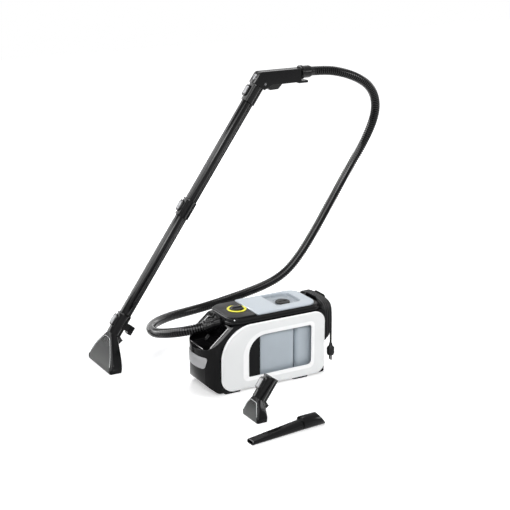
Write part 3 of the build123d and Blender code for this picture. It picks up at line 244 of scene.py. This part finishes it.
class Wire:
    """A shader socket that takes part in Python arithmetic."""

    def __init__(self, finish, socket):
        self.finish, self.socket = finish, socket

    def __add__(self, other):
        return self.finish.math("ADD", self, other)

    def __mul__(self, other):
        return self.finish.math("MULTIPLY", self, other)

    def __sub__(self, other):
        return self.finish.math("SUBTRACT", self, other)

    def __rsub__(self, other):
        return self.finish.math("SUBTRACT", other, self)

    __radd__ = __add__
    __rmul__ = __mul__


# Detail of a finish's slow drifts and of its grain, and the grain's depth
DRIFT_DETAIL, GRAIN_DETAIL, GRAIN_DEPTH = 2.0, 3.0, 0.0004
# A colour Mix node's sockets: the share, the two colours and what comes out
MIX_SHARE, MIX_FIRST, MIX_SECOND, MIX_RESULT = 0, 6, 7, 2


class Finish:
    """A material under construction, with its Principled shader."""

    def __init__(self, name, color, roughness, **sockets):
        self.color, self.roughness = color, roughness
        self.material = bpy.data.materials.new(name + "_finish")
        self.material.use_nodes = True
        self.tree = self.material.node_tree
        self.shader = self.tree.nodes["Principled BSDF"]
        self.put("Base Color", (*color, 1.0))
        self.put("Roughness", roughness)
        for key, value in sockets.items():
            self.put(key.replace("_", " "), value)

    def feed(self, socket, value):
        """Link a wire to a socket, or set the socket's own value."""
        if isinstance(value, Wire):
            self.tree.links.new(value.socket, socket)
        else:
            socket.default_value = value

    def put(self, name, value):
        self.feed(self.shader.inputs[name], value)

    def node(self, kind, settings, sockets):
        node = self.tree.nodes.new(kind)
        for key, value in settings.items():
            setattr(node, key, value)
        for key, value in sockets.items():
            self.feed(node.inputs[key], value)
        return [Wire(self, output) for output in node.outputs]

    def source(self, kind, sockets=()):
        """A node's outputs by name."""
        return {wire.socket.name: wire for wire in self.node(kind, {}, dict(sockets))}

    def math(self, operation, *values):
        return self.node("ShaderNodeMath", {"operation": operation}, dict(enumerate(values)))[0]

    def span(self, value, low, high, start=0.0, end=1.0):
        """A value that goes from start to end while another goes from low to high."""
        limits = {"From Min": low, "From Max": high, "To Min": start, "To Max": end}
        return self.node("ShaderNodeMapRange", {}, {"Value": value, **limits})[0]

    def place(self):
        return self.source("ShaderNodeTexCoord")["Object"]

    def axes(self):
        return self.source("ShaderNodeSeparateXYZ", {"Vector": self.place()})

    def noise(self, scale, detail=DRIFT_DETAIL):
        sockets = {"Vector": self.place(), "Scale": scale, "Detail": detail}
        return self.node("ShaderNodeTexNoise", {}, sockets)[0]

    def grain(self, scale, strength):
        """Fine moulded grain as a bump."""
        height = self.noise(scale, GRAIN_DETAIL)
        sockets = {"Height": height, "Strength": strength, "Distance": GRAIN_DEPTH}
        self.put("Normal", self.node("ShaderNodeBump", {}, sockets)[0])
        return self

    def mix(self, first, second, share):
        """Base colour between two colours."""
        colors = {MIX_FIRST: (*first, 1.0), MIX_SECOND: (*second, 1.0), MIX_SHARE: share}
        mixed = self.node("ShaderNodeMix", {"data_type": "RGBA"}, colors)
        self.put("Base Color", mixed[MIX_RESULT])
        return self

    def mottled(self, spread, scale=6.0):
        """Base colour that drifts a little over the surface."""
        first = tuple(c * (1 - spread) for c in self.color)
        second = tuple(c * (1 + spread) for c in self.color)
        return self.mix(first, second, self.noise(scale))

    def worn(self, spread, scale=9.0):
        """Roughness that drifts a little over the surface."""
        self.put("Roughness", self.noise(scale) * spread + (self.roughness - spread / 2))
        return self


class CleanerLooks(bpy.types.PropertyGroup):
    """Colours of the machine and its tools."""

    black: bpy.props.FloatVectorProperty(
        name="Black", description="Glossy black mouldings", subtype="COLOR",
        default=(0.0045, 0.0045, 0.005))
    white: bpy.props.FloatVectorProperty(
        name="White", description="Side panels", subtype="COLOR", default=(0.80, 0.81, 0.81))
    lid: bpy.props.FloatVectorProperty(
        name="Lid", description="Pale tank lid", subtype="COLOR", default=(0.49, 0.54, 0.59))
    tank: bpy.props.FloatVectorProperty(
        name="Tank", description="Smoked tanks", subtype="COLOR", default=(0.39, 0.44, 0.485))
    ring: bpy.props.FloatVectorProperty(
        name="Ring", description="Ring round the selector", subtype="COLOR",
        default=(0.86, 0.80, 0.01))


class CleanerSizes(bpy.types.PropertyGroup):
    """Sizes that only the dressed pieces have."""

    hose_radius: bpy.props.FloatProperty(
        name="Hose radius", description="Crest of the hose's ribs", default=0.0165, unit="LENGTH")
    hose_root: bpy.props.FloatProperty(
        name="Hose root", description="Valley between the ribs", default=0.0122, unit="LENGTH")
    hose_pitch: bpy.props.FloatProperty(
        name="Rib pitch", description="Distance from rib to rib", default=0.0084, unit="LENGTH")
    cord_radius: bpy.props.FloatProperty(
        name="Cord radius", description="Power cord", default=0.0035, unit="LENGTH")


def looks():
    return bpy.context.scene.cleaner_looks


def sizes():
    return bpy.context.scene.cleaner_sizes


# The window's bevel in a white panel: where it starts and ends, from the machine's middle, and the
# whiter colour of the painted highlight on it
BEVEL_INNER, BEVEL_OUTER, BEVEL_HIGHLIGHT = 0.0958, 0.0968, (0.97, 0.97, 0.97)
# The lid's recess, which gets painted shade: its floor and rim, how dark the painted shade is, and
# the shares of height and random drift in that
RECESS_FLOOR, RECESS_RIM, RECESS_SHADE = 0.2490, 0.2565, 0.62
RECESS_SHARE, LID_DRIFT, LID_DRIFT_SCALE = 0.88, 0.12, 7.0
# The clear covers: the frame's colour and soft edge, how far up the clear part fades and to what,
# its green, and how much of it the light goes through
FRAME_BLACK, FRAME_EDGE = (0.006, 0.006, 0.0065), 0.0004
FADE_END, FADED, COVER_GREEN, SEE_THROUGH = 0.85, 0.25, 1.02, 0.2


def panel_white(color):
    """White panels, with a painted highlight that makes the bevel into the window a little brighter
    than the flat face.
    """
    white = Finish("white_shell", color, 0.32, Coat_Weight=0.1).worn(0.05)
    depth = white.math("ABSOLUTE", white.axes()["Y"] - MACHINE.y)
    # painted highlight: the bevel into the window gets a whiter colour than the flat face
    white.mix(BEVEL_HIGHLIGHT, color, white.span(depth, BEVEL_INNER, BEVEL_OUTER))


def lid_grey(color):
    """Pale lid, with painted shade darkening it down in its recess."""
    pale = Finish("pale_lid", color, 0.28, Coat_Weight=0.1).worn(0.05)
    # painted shade: from the recess rim down, the lid's colour is mixed towards a darker copy of
    # itself, with a little random drift
    level = pale.span(pale.axes()["Z"], RECESS_FLOOR, RECESS_RIM)
    share = level * RECESS_SHARE + pale.noise(LID_DRIFT_SCALE) * LID_DRIFT
    pale.mix(tuple(RECESS_SHADE * c for c in color), color, share)


def clear_cover(kind, tone):
    """Smoky clear cover in a black frame that follows the nozzle's sides."""
    grey = (tone, tone, tone)
    cover = Finish(kind + "_cover", grey, 0.2, Specular_IOR_Level=0.07).worn(0.06, 30)
    foot, run, middle, half = nozzle_line(kind)
    x, y, z = cover.axes().values()
    share = ((x - foot.x) * run.x + (z - foot.z) * run.z) * (1 / run.length_squared)
    share = cover.math("MAXIMUM", share, 0.0)
    bend = cover.math("POWER", share, SWELL)
    aside = cover.math("ABSOLUTE", y - middle)
    inside = half - (bend * (half - NECK_HALF) + aside)
    inside = cover.math("MINIMUM", inside, (1 - share) * run.length)
    border = COVER_BORDERS[kind]
    clear = cover.span(inside, border - FRAME_EDGE, border + FRAME_EDGE)
    fade = cover.span(share, 0.0, FADE_END, 1.0, FADED)
    cover.mix(FRAME_BLACK, (tone, tone * COVER_GREEN, tone), clear * fade)
    cover.put("Alpha", 1 - clear * SEE_THROUGH)


def make_finishes():
    """A finish for each material slot, and those of the clear covers, the painted highlights on
    their edges and the pin cap.
    """
    look = looks()
    black = tuple(look.black)
    Finish("black_shell", black, 0.15, Specular_IOR_Level=0.09).worn(0.05).grain(900, 0.03)
    Finish("gloss_black", black, 0.13, Specular_IOR_Level=0.14).worn(0.05).grain(420, 0.02)
    Finish("polished_black", black, 0.12, Specular_IOR_Level=1.0).worn(0.04).grain(420, 0.02)
    Finish("satin_black", black, 0.36, Specular_IOR_Level=0.2).worn(0.06).grain(2600, 0.2)
    Finish("soft_rubber", black, 0.42, Specular_IOR_Level=0.2).worn(0.08).grain(1500, 0.2)
    Finish("hose_black", black, 0.11, Specular_IOR_Level=0.27).worn(0.03, 40)
    for name, tone, roughness in (
        ("light_grey", (0.45, 0.45, 0.465), 0.42), ("pin_grey", (0.13, 0.13, 0.135), 0.4),
    ):
        Finish(name, tone, roughness, Specular_IOR_Level=0.15).worn(0.06).grain(1600, 0.08)
    Finish("badge_grey", (0.40, 0.40, 0.41), 0.32).worn(0.05).grain(1800, 0.1)
    Finish("smoked_tank", tuple(look.tank), 0.25).worn(0.06).mottled(0.08, 14)
    # painted highlight: a pale grey for the beads on the clear covers' edges
    Finish("clear_edge_highlight", (0.62, 0.64, 0.64), 0.2).worn(0.06).mottled(0.05, 40)
    Finish("yellow_ring", tuple(look.ring), 0.35).worn(0.06).mottled(0.03)
    Finish("pale_plastic", (0.70, 0.70, 0.68), 0.45).worn(0.06).mottled(0.04)
    Finish("steel", (0.58, 0.58, 0.59), 0.32, Metallic=1.0).worn(0.1, 60)
    panel_white(tuple(look.white))
    lid_grey(tuple(look.lid))
    clear_cover("floor", 0.21)
    clear_cover("hand", 0.19)


def finish(slot):
    return bpy.data.materials[slot + "_finish"]


def slot_of(node):
    return next(p["material_slot"] for p in frame["record"]["subparts"] if p["node"] == node)


def finish_of(node):
    if node.endswith("_nozzle_window"):
        return finish(node.split("_")[0] + "_cover")
    return finish(slot_of(node))


class CLEANER_OT_finishes(bpy.types.Operator):
    """Give every solid the finish of its material slot"""

    bl_idname = "cleaner.finishes"
    bl_label = "Finishes"

    def execute(self, context):
        make_finishes()
        for part in frame["record"]["subparts"]:
            node = bpy.data.objects[part["node"]]
            node.data.materials.clear()
            node.data.materials.append(finish_of(part["node"]))
        return {"FINISHED"}


# Solids whose hard edges are eased, with the width of the easing in millimetres
EASED = {
    "lower_housing": 1.4, "side_panel_near": 1.2, "side_panel_far": 1.2, "badge_plate": 0.5,
    "top_cover": 1.2, "control_panel": 0.6, "dial_ring": 0.5, "selector_knob": 0.6,
    "tank_lid": 1.0, "lid_lock": 0.5, "dirty_tank": 1.0, "fresh_tank": 1.0, "tank_divider": 0.5,
    "rubber_feet": 0.8, "cord_hook": 1.2, "cord_gland": 0.6, "mains_plug": 0.7, "hose_port": 0.6,
    "hose_cuff": 0.6, "hose_collar": 0.8, "lower_tube": 0.4, "upper_tube": 0.4,
    "lower_socket": 0.8, "upper_socket": 0.8, "lower_spray_pipe": 0.3, "upper_spray_pipe": 0.3,
    "nozzle_lock": 1.0, "tube_lock": 1.0, "handle_lock": 1.0, "hand_lock": 1.0,
    "handle_shell_near": 1.2, "handle_shell_far": 1.2, "relief_slide": 0.5, "trigger": 1.2,
    "floor_nozzle_socket": 0.8, "floor_nozzle_body": 0.8, "floor_nozzle_window": 0.6,
    "floor_spray_jet": 0.6, "hand_nozzle_socket": 0.8, "hand_nozzle_body": 0.8,
    "hand_nozzle_window": 0.6, "hand_spray_jet": 0.6, "crevice_tool": 0.8,
}


def body_of(node):
    bodies = frame["record"]["behaviour"]["bodies"]
    return next(body for body, nodes in bodies.items() if node in nodes)


def flare(piece, kind):
    """Fill out a nozzle head's sides, so that they swell from neck to mouth in one curve."""
    foot, run, middle, half = nozzle_line(kind)
    for cut in range(1, FLARE_CUTS):
        edit_all(piece)
        bpy.ops.mesh.bisect(plane_co=foot + run * cut / FLARE_CUTS, plane_no=run)
        leave()
    waist = NECK_HALF + WAIST_SHARE * (half - NECK_HALF)
    for vertex in piece.data.vertices:
        share = min(max((vertex.co - foot).dot(run) / run.length_squared, 0), 1)
        if share < 0.5:
            plain = half + (waist - half) * (share * 2)
        else:
            plain = waist + (NECK_HALF - waist) * (share * 2 - 1)
        vertex.co.y = middle + (vertex.co.y - middle) * flared_half(half, share) / plain


def slant(piece):
    """Cut the crevice tool's socket end off at a slant and close the wall again."""
    along = Vector((math.cos(CREVICE_YAW), math.sin(CREVICE_YAW), 0))
    end, out = CREVICE_TIP + along * CREVICE_LENGTH, along + Vector((0, 0, CREVICE_SLANT))
    edit_all(piece, "EDGE")
    bpy.ops.mesh.bisect(plane_co=end, plane_no=out, clear_outer=True)
    bpy.ops.mesh.bridge_edge_loops()
    leave()


def eased(node, width):
    """A copy of a solid with welded faces, rounded edges and smooth curves, in its place."""
    piece = hold(add(node + "_form", bpy.data.objects[node].data.copy()))
    if piece.data.has_custom_normals:
        bpy.ops.mesh.customdata_custom_splitnormals_clear()
    edit_all(piece)
    bpy.ops.mesh.remove_doubles(threshold=WELD)
    leave()
    if "_nozzle_body" in node or "_nozzle_window" in node:
        flare(piece, node.split("_")[0])
    if node == "crevice_tool":
        slant(piece)
    modify(piece, "BEVEL", width=width / 1000, segments=2, limit_method="ANGLE",
           angle_limit=math.radians(FORM_ANGLE))
    smooth(piece, FORM_ANGLE)
    return dress(piece, node + "_form", body_of(node), finish_of(node), (node,))


class CLEANER_OT_forms(bpy.types.Operator):
    """Moulded pieces with eased edges in place of the plain solids"""

    bl_idname = "cleaner.forms"
    bl_label = "Moulded pieces"

    def execute(self, context):
        for node, width in EASED.items():
            eased(node, width)
        return {"FINISHED"}


# Turned trims, as radius and height pairs
LID_RING = [
    (0.0400, 0.0), (0.0398, 0.0016), (0.0390, 0.0022), (0.0374, 0.0022), (0.0366, 0.0016),
    (0.0364, 0.0),
]
# A small white dot that stands for a highlight on the top cover's front: a painted highlight
HIGHLIGHT_DOT_PROFILE = [
    (0.0, 0.0013), (0.0014, 0.0010), (0.0024, 0.0004), (0.0028, -0.0004), (0.0028, -0.0016),
    (0.0, -0.0016),
]
PIN_CAP = [
    (0.0, 0.0018), (0.0030, 0.0014), (0.0048, 0.0004), (0.0053, -0.0008), (0.0053, -0.002),
    (0.0, -0.002),
]
# Where they sit: the ring and the painted highlight dot from the machine, the pin straight in from
# beside the handle
LID_RING_AT = Vector((0.097, 0, 0.248))
HIGHLIGHT_DOT_AT, HIGHLIGHT_DOT_OUT = Vector((-0.1284, -0.0732, 0.2470)), (-0.6, -0.8, 0.0)
PIN_FROM = Vector((0.2375, 0.2, 0.9275))
# Pale beads along the clear covers, painted highlights on their edges: radius, how many points each
# side has, the first one's share of the side and the share from point to point, and a distance
# clear of the cover
RAIL_RADIUS, RAIL_POINTS, RAIL_START, RAIL_STEP, RAIL_CLEAR = 0.0009, 11, 0.03, 0.097, 0.1
# Edges of the hose scoop: radius, how deep the middle lies, the slopes' and the lip's lines from
# above, and a height clear of the machine
SCOOP_RADIUS, SCOOP_SINK, SCOOP_CLEAR = 0.0021, 0.0007, 0.40
SLOPE_X, SLOPE_Y = [-0.216 + 0.0095 * step for step in range(8)], 0.0695
LIP_X, LIP_Y = -0.2285, [y / 1000 for y in range(-44, 46, 11)]


def turned(profile, place, steps, closed=False):
    """A lathe-turned form: radius and height pairs swept round the Z axis of its place."""
    count = len(profile)
    edges = [(i, (i + 1) % count) for i in range(count if closed else count - 1)]
    mesh = bpy.data.meshes.new("turned")
    mesh.from_pydata([(r, 0, z) for r, z in profile], edges, [])
    obj = add("turned", mesh)
    modify(obj, "SCREW", steps=steps, render_steps=steps, use_merge_vertices=True,
           merge_threshold=WELD)
    edit_all(obj)
    bpy.ops.mesh.remove_doubles(threshold=WELD)
    bpy.ops.mesh.normals_make_consistent(inside=False)
    leave()
    obj.matrix_world = place
    return smooth(apply_place(obj), TURNED_ANGLE)


def facing(at, out):
    """A place at a point with its Z axis along a direction."""
    return Matrix.Translation(at) @ Vector(out).to_track_quat("Z", "Y").to_matrix().to_4x4()


def surface(form, start, along):
    """Where a straight line first meets a dressed form."""
    bpy.context.view_layer.update()
    hit, place = bpy.data.objects[form].ray_cast(start, along)[:2]
    if not hit:
        raise RuntimeError("a trim misses " + form)
    return place


def beading(points, radius):
    """A thin round bead along a smooth line."""
    hold(spline_curve("beading", points, radius))
    bpy.ops.object.convert(target="MESH")
    return smooth(bpy.context.object, BEAD_ANGLE)


def rail(kind, body):
    """A pale bead round a clear cover, up one side and down the other, along its frame, painted as
    a highlight on the cover's edge.
    """
    foot, run, middle, half = nozzle_line(kind)
    front = Vector((-run.z, 0, run.x)).normalized()
    border = COVER_BORDERS[kind]
    top = 1 - border / run.length
    shares = [top * (RAIL_START + RAIL_STEP * step) for step in range(RAIL_POINTS)]
    points = []
    for side in (1, -1):
        for share in shares if side > 0 else reversed(shares):
            spot = foot + run * share
            spot.y = middle + side * (flared_half(half, share) - border)
            points.append(surface(kind + "_nozzle_window_form", spot + front * RAIL_CLEAR, -front))
    bead = beading(points, RAIL_RADIUS)
    return dress(bead, kind + "_cover_rail", body, finish("clear_edge_highlight"))


def scoop_edge(name, spots):
    """A polished rounded edge along the scoop, with its middle sunk into the housing."""
    points = []
    for x, y in spots:
        above = MACHINE + Vector((x, y, SCOOP_CLEAR))
        place = surface("lower_housing_form", above, (0, 0, -1))
        points.append(place - Vector((0, 0, SCOOP_SINK)))
    bead = beading(points, SCOOP_RADIUS)
    return dress(bead, name, "machine", finish("polished_black"))


class CLEANER_OT_trims(bpy.types.Operator):
    """Small trims: lid ring, a white dot painted as a highlight on the top cover, trigger pin,
    scoop edges, and pale beads painted as highlights on the rims of the clear covers
    """

    bl_idname = "cleaner.trims"
    bl_label = "Trims"

    def execute(self, context):
        ring = turned(LID_RING, Matrix.Translation(MACHINE + LID_RING_AT), steps=64, closed=True)
        dress(ring, "lid_ring", "lid", finish("pale_lid"))
        # painted highlight: a small white dot on the top cover's front corner
        lamp = turned(HIGHLIGHT_DOT_PROFILE, facing(MACHINE + HIGHLIGHT_DOT_AT, HIGHLIGHT_DOT_OUT), steps=24)
        dress(lamp, "status_lamp", "machine", finish("white_shell"))
        rail("floor", "wand")
        rail("hand", "hand_nozzle")
        scoop_edge("near_scoop_edge", [(x, -SLOPE_Y) for x in SLOPE_X])
        scoop_edge("far_scoop_edge", [(x, SLOPE_Y) for x in SLOPE_X])
        scoop_edge("lip_edge", [(LIP_X, y) for y in LIP_Y])
        seat = surface("handle_shell_near_form", PIN_FROM, (0, 1, 0))
        pin = turned(PIN_CAP, facing(seat, (0, -1, 0)), steps=28)
        dress(pin, "trigger_pin", "wand", finish("pin_grey"))
        return {"FINISHED"}


class CLEANER_OT_hose(bpy.types.Operator):
    """Ribbed suction hose from the machine's cuff to the handle's collar"""

    bl_idname = "cleaner.hose"
    bl_label = "Suction hose"

    def execute(self, context):
        size = sizes()
        crest = size.hose_radius
        swell = crest / size.hose_root
        route = spline_curve("hose_route", HOSE_ROUTE)
        points = line_points(route)
        length = path_length(points)
        count = int((length - 2 * crest) / size.hose_pitch)
        pitch = (length - 2 * crest) / count
        rib = self.rib(crest, size.hose_root, pitch, swell)
        modify(rib, "ARRAY", count=count, use_relative_offset=False, use_constant_offset=True,
               constant_offset_displace=(pitch, 0, 0), use_merge_vertices=True,
               merge_threshold=RIB_WELD)
        last = max(v.co.x for v in rib.data.vertices)
        for ring, reach in ((crest, -crest), (last, length - last)):
            edit_ring(rib, ring)
            self.plain_end(reach, swell)
            leave()
        edit_all(rib)
        bpy.ops.mesh.normals_make_consistent(inside=False)
        leave()
        modify(rib, "CURVE", object=route, deform_axis="POS_X")
        bpy.data.objects.remove(route)
        smooth(rib, FORM_ANGLE)
        hose = dress(rib, "ribbed_hose", "machine", finish("hose_black"),
                     ("suction_hose",))
        return {"FINISHED"}

    def rib(self, crest, root, pitch, swell):
        """The first rib, lying straight along X."""
        deselect()
        bpy.ops.mesh.primitive_circle_add(
            vertices=HOSE_SIDES, radius=root, rotation=(0, math.pi / 2, 0), location=(crest, 0, 0))
        rib = apply_place(bpy.context.object)
        edit_all(rib, "VERT")
        reached = 1.0
        for step, height in RIB_STEPS:
            bpy.ops.mesh.extrude_region_move(TRANSFORM_OT_translate={"value": (step * pitch, 0, 0)})
            wanted = 1.0 + (swell - 1.0) * height
            bpy.ops.transform.resize(value=(1, wanted / reached, wanted / reached))
            reached = wanted
        leave()
        return rib

    def plain_end(self, reach, swell):
        """A plain sleeve as wide as the ribs, inside the cuff or the collar."""
        bpy.ops.mesh.extrude_region_move(TRANSFORM_OT_translate={"value": (0, 0, 0)})
        bpy.ops.transform.resize(value=(1, swell, swell))
        bpy.ops.mesh.extrude_region_move(TRANSFORM_OT_translate={"value": (reach, 0, 0)})


def hank_turn(x, n, first, last):
    """One turn in twelve points: up the far side, over the hook and down the near side."""
    side, top = HANK_SIDE + n * CORD_PITCH, HANK_TOP + n * CORD_PITCH
    near, far = CORNER_NEAR, CORNER_FAR
    return [
        (x, side - far, first), (x, side - near, first + near), (x, side, first + far),
        (x, side, top - far), (x, side - near, top - near), (x, side - far, top),
        (x, far - side, top), (x, near - side, top - near), (x, -side, top - far),
        (x, -side, last + far), (x, near - side, last + near), (x, far - side, last),
    ]


def hank_route():
    """Turns over the hook, layer by layer, with the tail going down the near side to the plug."""
    x, start = HANK_START
    low = HANK_BOTTOM - HANK_LOOPS * CORD_PITCH
    points = [(x, start, low)]
    for layer in range(HANK_LAYERS):
        inward = layer % 2 == 0
        for n in range(HANK_LOOPS - 1, -1, -1) if inward else range(HANK_LOOPS):
            after = HANK_BOTTOM - (n - 1 if inward else n) * CORD_PITCH
            points += hank_turn(x, n, low, after)
            low = after
        points += [(x, -LAYER_STEP, low), (x + CORD_PITCH, LAYER_STEP, low)]
        x += CORD_PITCH
    points = points[:-TAIL_POINTS]
    points.append((x - CORD_PITCH, points[-1][1], PLUG_TOP))
    return [MACHINE + Vector(point) for point in points]


class CLEANER_OT_cord(bpy.types.Operator):
    """Power cord in its hank over the hook, down to the plug"""

    bl_idname = "cleaner.cord"
    bl_label = "Power cord"

    def execute(self, context):
        route = spline_curve("power_cord", hank_route())
        length = path_length(line_points(route))
        route.data.bevel_depth = sizes().cord_radius
        cord = dress(route, "power_cord", "machine", finish("soft_rubber"),
                     ("cord_hank",))
        tuple(hank_route()[0])
        return {"FINISHED"}


CAMERA_AT = Vector((-2.0398, -3.590, 1.7232))
CAMERA_ALONG = Vector((0.4716, 0.8302, -0.2974))
CAMERA_LENS, CAMERA_SENSOR = 93.04, 36
# Lamps, and cards that show only in reflections: name, place, size and power
LAMPS = [
    ("key_light", (-1.6, -3.0, 2.6), 1.2, 92), ("fill_light", (2.8, -2.0, 1.6), 1.2, 36),
    ("top_light", (0.2, 0.6, 3.2), 1.4, 50), ("rear_light", (1.6, 3.0, 2.2), 1.2, 40),
]
CARDS = [
    ("reflector_card", (-2.4, 2.2, 1.8), 3.4, 330), ("front_card", (-2.9, -4.6, 3.4), 5.0, 560),
    ("side_card", (-3.6, -0.4, 3.0), 2.6, 230),
]
LIGHT_AIM = Vector((0, 0.1, 0.35))
FLOOR_SIZE, FLOOR_LEVEL = 14, -0.0005
FLOOR_WHITE, FLOOR_ROUGHNESS = (0.86, 0.86, 0.86), 0.9
# The floor's glow rises from its low at one distance from the middle to full at another
GLOW_NEAR, GLOW_FAR, GLOW_LOW = 0.6, 2.4, 0.46
WORLD_TINT, WORLD_STRENGTH = (0.95, 0.97, 1.0, 1.0), 0.16


class CLEANER_OT_stage(bpy.types.Operator):
    """Pale floor, soft studio light and the camera at the photograph's angle"""

    bl_idname = "cleaner.stage"
    bl_label = "Stage"

    def execute(self, context):
        self.camera(context)
        self.floor()
        self.world(context)
        for light in LAMPS:
            self.lamp(*light)
        bpy.data.objects["rear_light"].visible_glossy = False
        for light in CARDS:
            card = self.lamp(*light)
            card.visible_diffuse = False
            card.visible_camera = False
        context.scene.view_settings.view_transform = "Standard"
        return {"FINISHED"}

    def camera(self, context):
        deselect()
        turn = CAMERA_ALONG.to_track_quat("-Z", "Y").to_euler()
        bpy.ops.object.camera_add(location=CAMERA_AT, rotation=turn)
        camera = bpy.context.object
        camera.data.lens = CAMERA_LENS
        camera.data.sensor_width = CAMERA_SENSOR
        camera.data.sensor_fit = "HORIZONTAL"
        context.scene.camera = camera

    def floor(self):
        """A matt floor, white to the camera and in reflections, but not through the covers."""
        deselect()
        bpy.ops.mesh.primitive_plane_add(size=FLOOR_SIZE, location=(0, 0, FLOOR_LEVEL))
        floor = apply_place(bpy.context.object)
        floor.name = "studio_floor"
        paint = Finish("floor_paint", FLOOR_WHITE, FLOOR_ROUGHNESS, Specular_IOR_Level=0.0,
                       Emission_Strength=1.0)
        path = paint.source("ShaderNodeLightPath")
        bare = paint.math("LESS_THAN", path["Transparent Depth"], 0.5)
        away = paint.node("ShaderNodeVectorMath", {"operation": "LENGTH"}, {0: paint.place()})[1]
        glow = paint.span(away, GLOW_NEAR, GLOW_FAR, GLOW_LOW, 1.0)
        seen = path["Is Camera Ray"] * bare + path["Is Glossy Ray"] + path["Is Transmission Ray"]
        paint.put("Emission Color", seen * glow)
        floor.data.materials.append(paint.material)

    def world(self, context):
        """Soft light on the object, and plain white to the camera and in reflections."""
        world = bpy.data.worlds.new("studio_world")
        context.scene.world = world
        world.use_nodes = True
        tree = world.node_tree
        path = tree.nodes.new("ShaderNodeLightPath")
        mix = tree.nodes.new("ShaderNodeMixShader")
        soft, white = tree.nodes["Background"], tree.nodes.new("ShaderNodeBackground")
        soft.inputs["Color"].default_value = WORLD_TINT
        soft.inputs["Strength"].default_value = WORLD_STRENGTH
        white.inputs["Color"].default_value = (1, 1, 1, 1)
        white.inputs["Strength"].default_value = 1.0
        seen = path.outputs["Is Camera Ray"]
        for name in ("Is Glossy Ray", "Is Transmission Ray"):
            either = tree.nodes.new("ShaderNodeMath")
            either.operation = "MAXIMUM"
            tree.links.new(seen, either.inputs[0])
            tree.links.new(path.outputs[name], either.inputs[1])
            seen = either.outputs[0]
        tree.links.new(seen, mix.inputs[0])
        tree.links.new(soft.outputs[0], mix.inputs[1])
        tree.links.new(white.outputs[0], mix.inputs[2])
        tree.links.new(mix.outputs[0], tree.nodes["World Output"].inputs[0])

    def lamp(self, name, place, size, power):
        deselect()
        aim = (LIGHT_AIM - Vector(place)).to_track_quat("-Z", "Y").to_euler()
        bpy.ops.object.light_add(type="AREA", location=place, rotation=aim)
        lamp = bpy.context.object
        lamp.name = name
        lamp.data.size = size
        lamp.data.energy = power
        return lamp


STEPS = ["finishes", "forms", "trims", "hose", "cord", "stage"]


class CLEANER_PT_pieces(bpy.types.Panel):
    """Lists the steps that dress the carpet cleaner"""

    bl_idname = "CLEANER_PT_pieces"
    bl_label = "Carpet cleaner"
    bl_space_type = "VIEW_3D"
    bl_region_type = "UI"
    bl_category = "Cleaner"

    def draw(self, context):
        for step in STEPS:
            self.layout.operator("cleaner." + step)


CLASSES = [
    CleanerLooks, CleanerSizes, CLEANER_OT_finishes, CLEANER_OT_forms, CLEANER_OT_trims,
    CLEANER_OT_hose, CLEANER_OT_cord, CLEANER_OT_stage, CLEANER_PT_pieces,
]


def register():
    for item in CLASSES:
        bpy.utils.register_class(item)
    bpy.types.Scene.cleaner_looks = bpy.props.PointerProperty(type=CleanerLooks)
    bpy.types.Scene.cleaner_sizes = bpy.props.PointerProperty(type=CleanerSizes)


def unregister():
    del bpy.types.Scene.cleaner_looks
    del bpy.types.Scene.cleaner_sizes
    for item in reversed(CLASSES):
        bpy.utils.unregister_class(item)


def main():
    register()
    for step in STEPS:
        getattr(bpy.ops.cleaner, step)()
    bpy.context.view_layer.update()


if __name__ == "__main__":
    main()
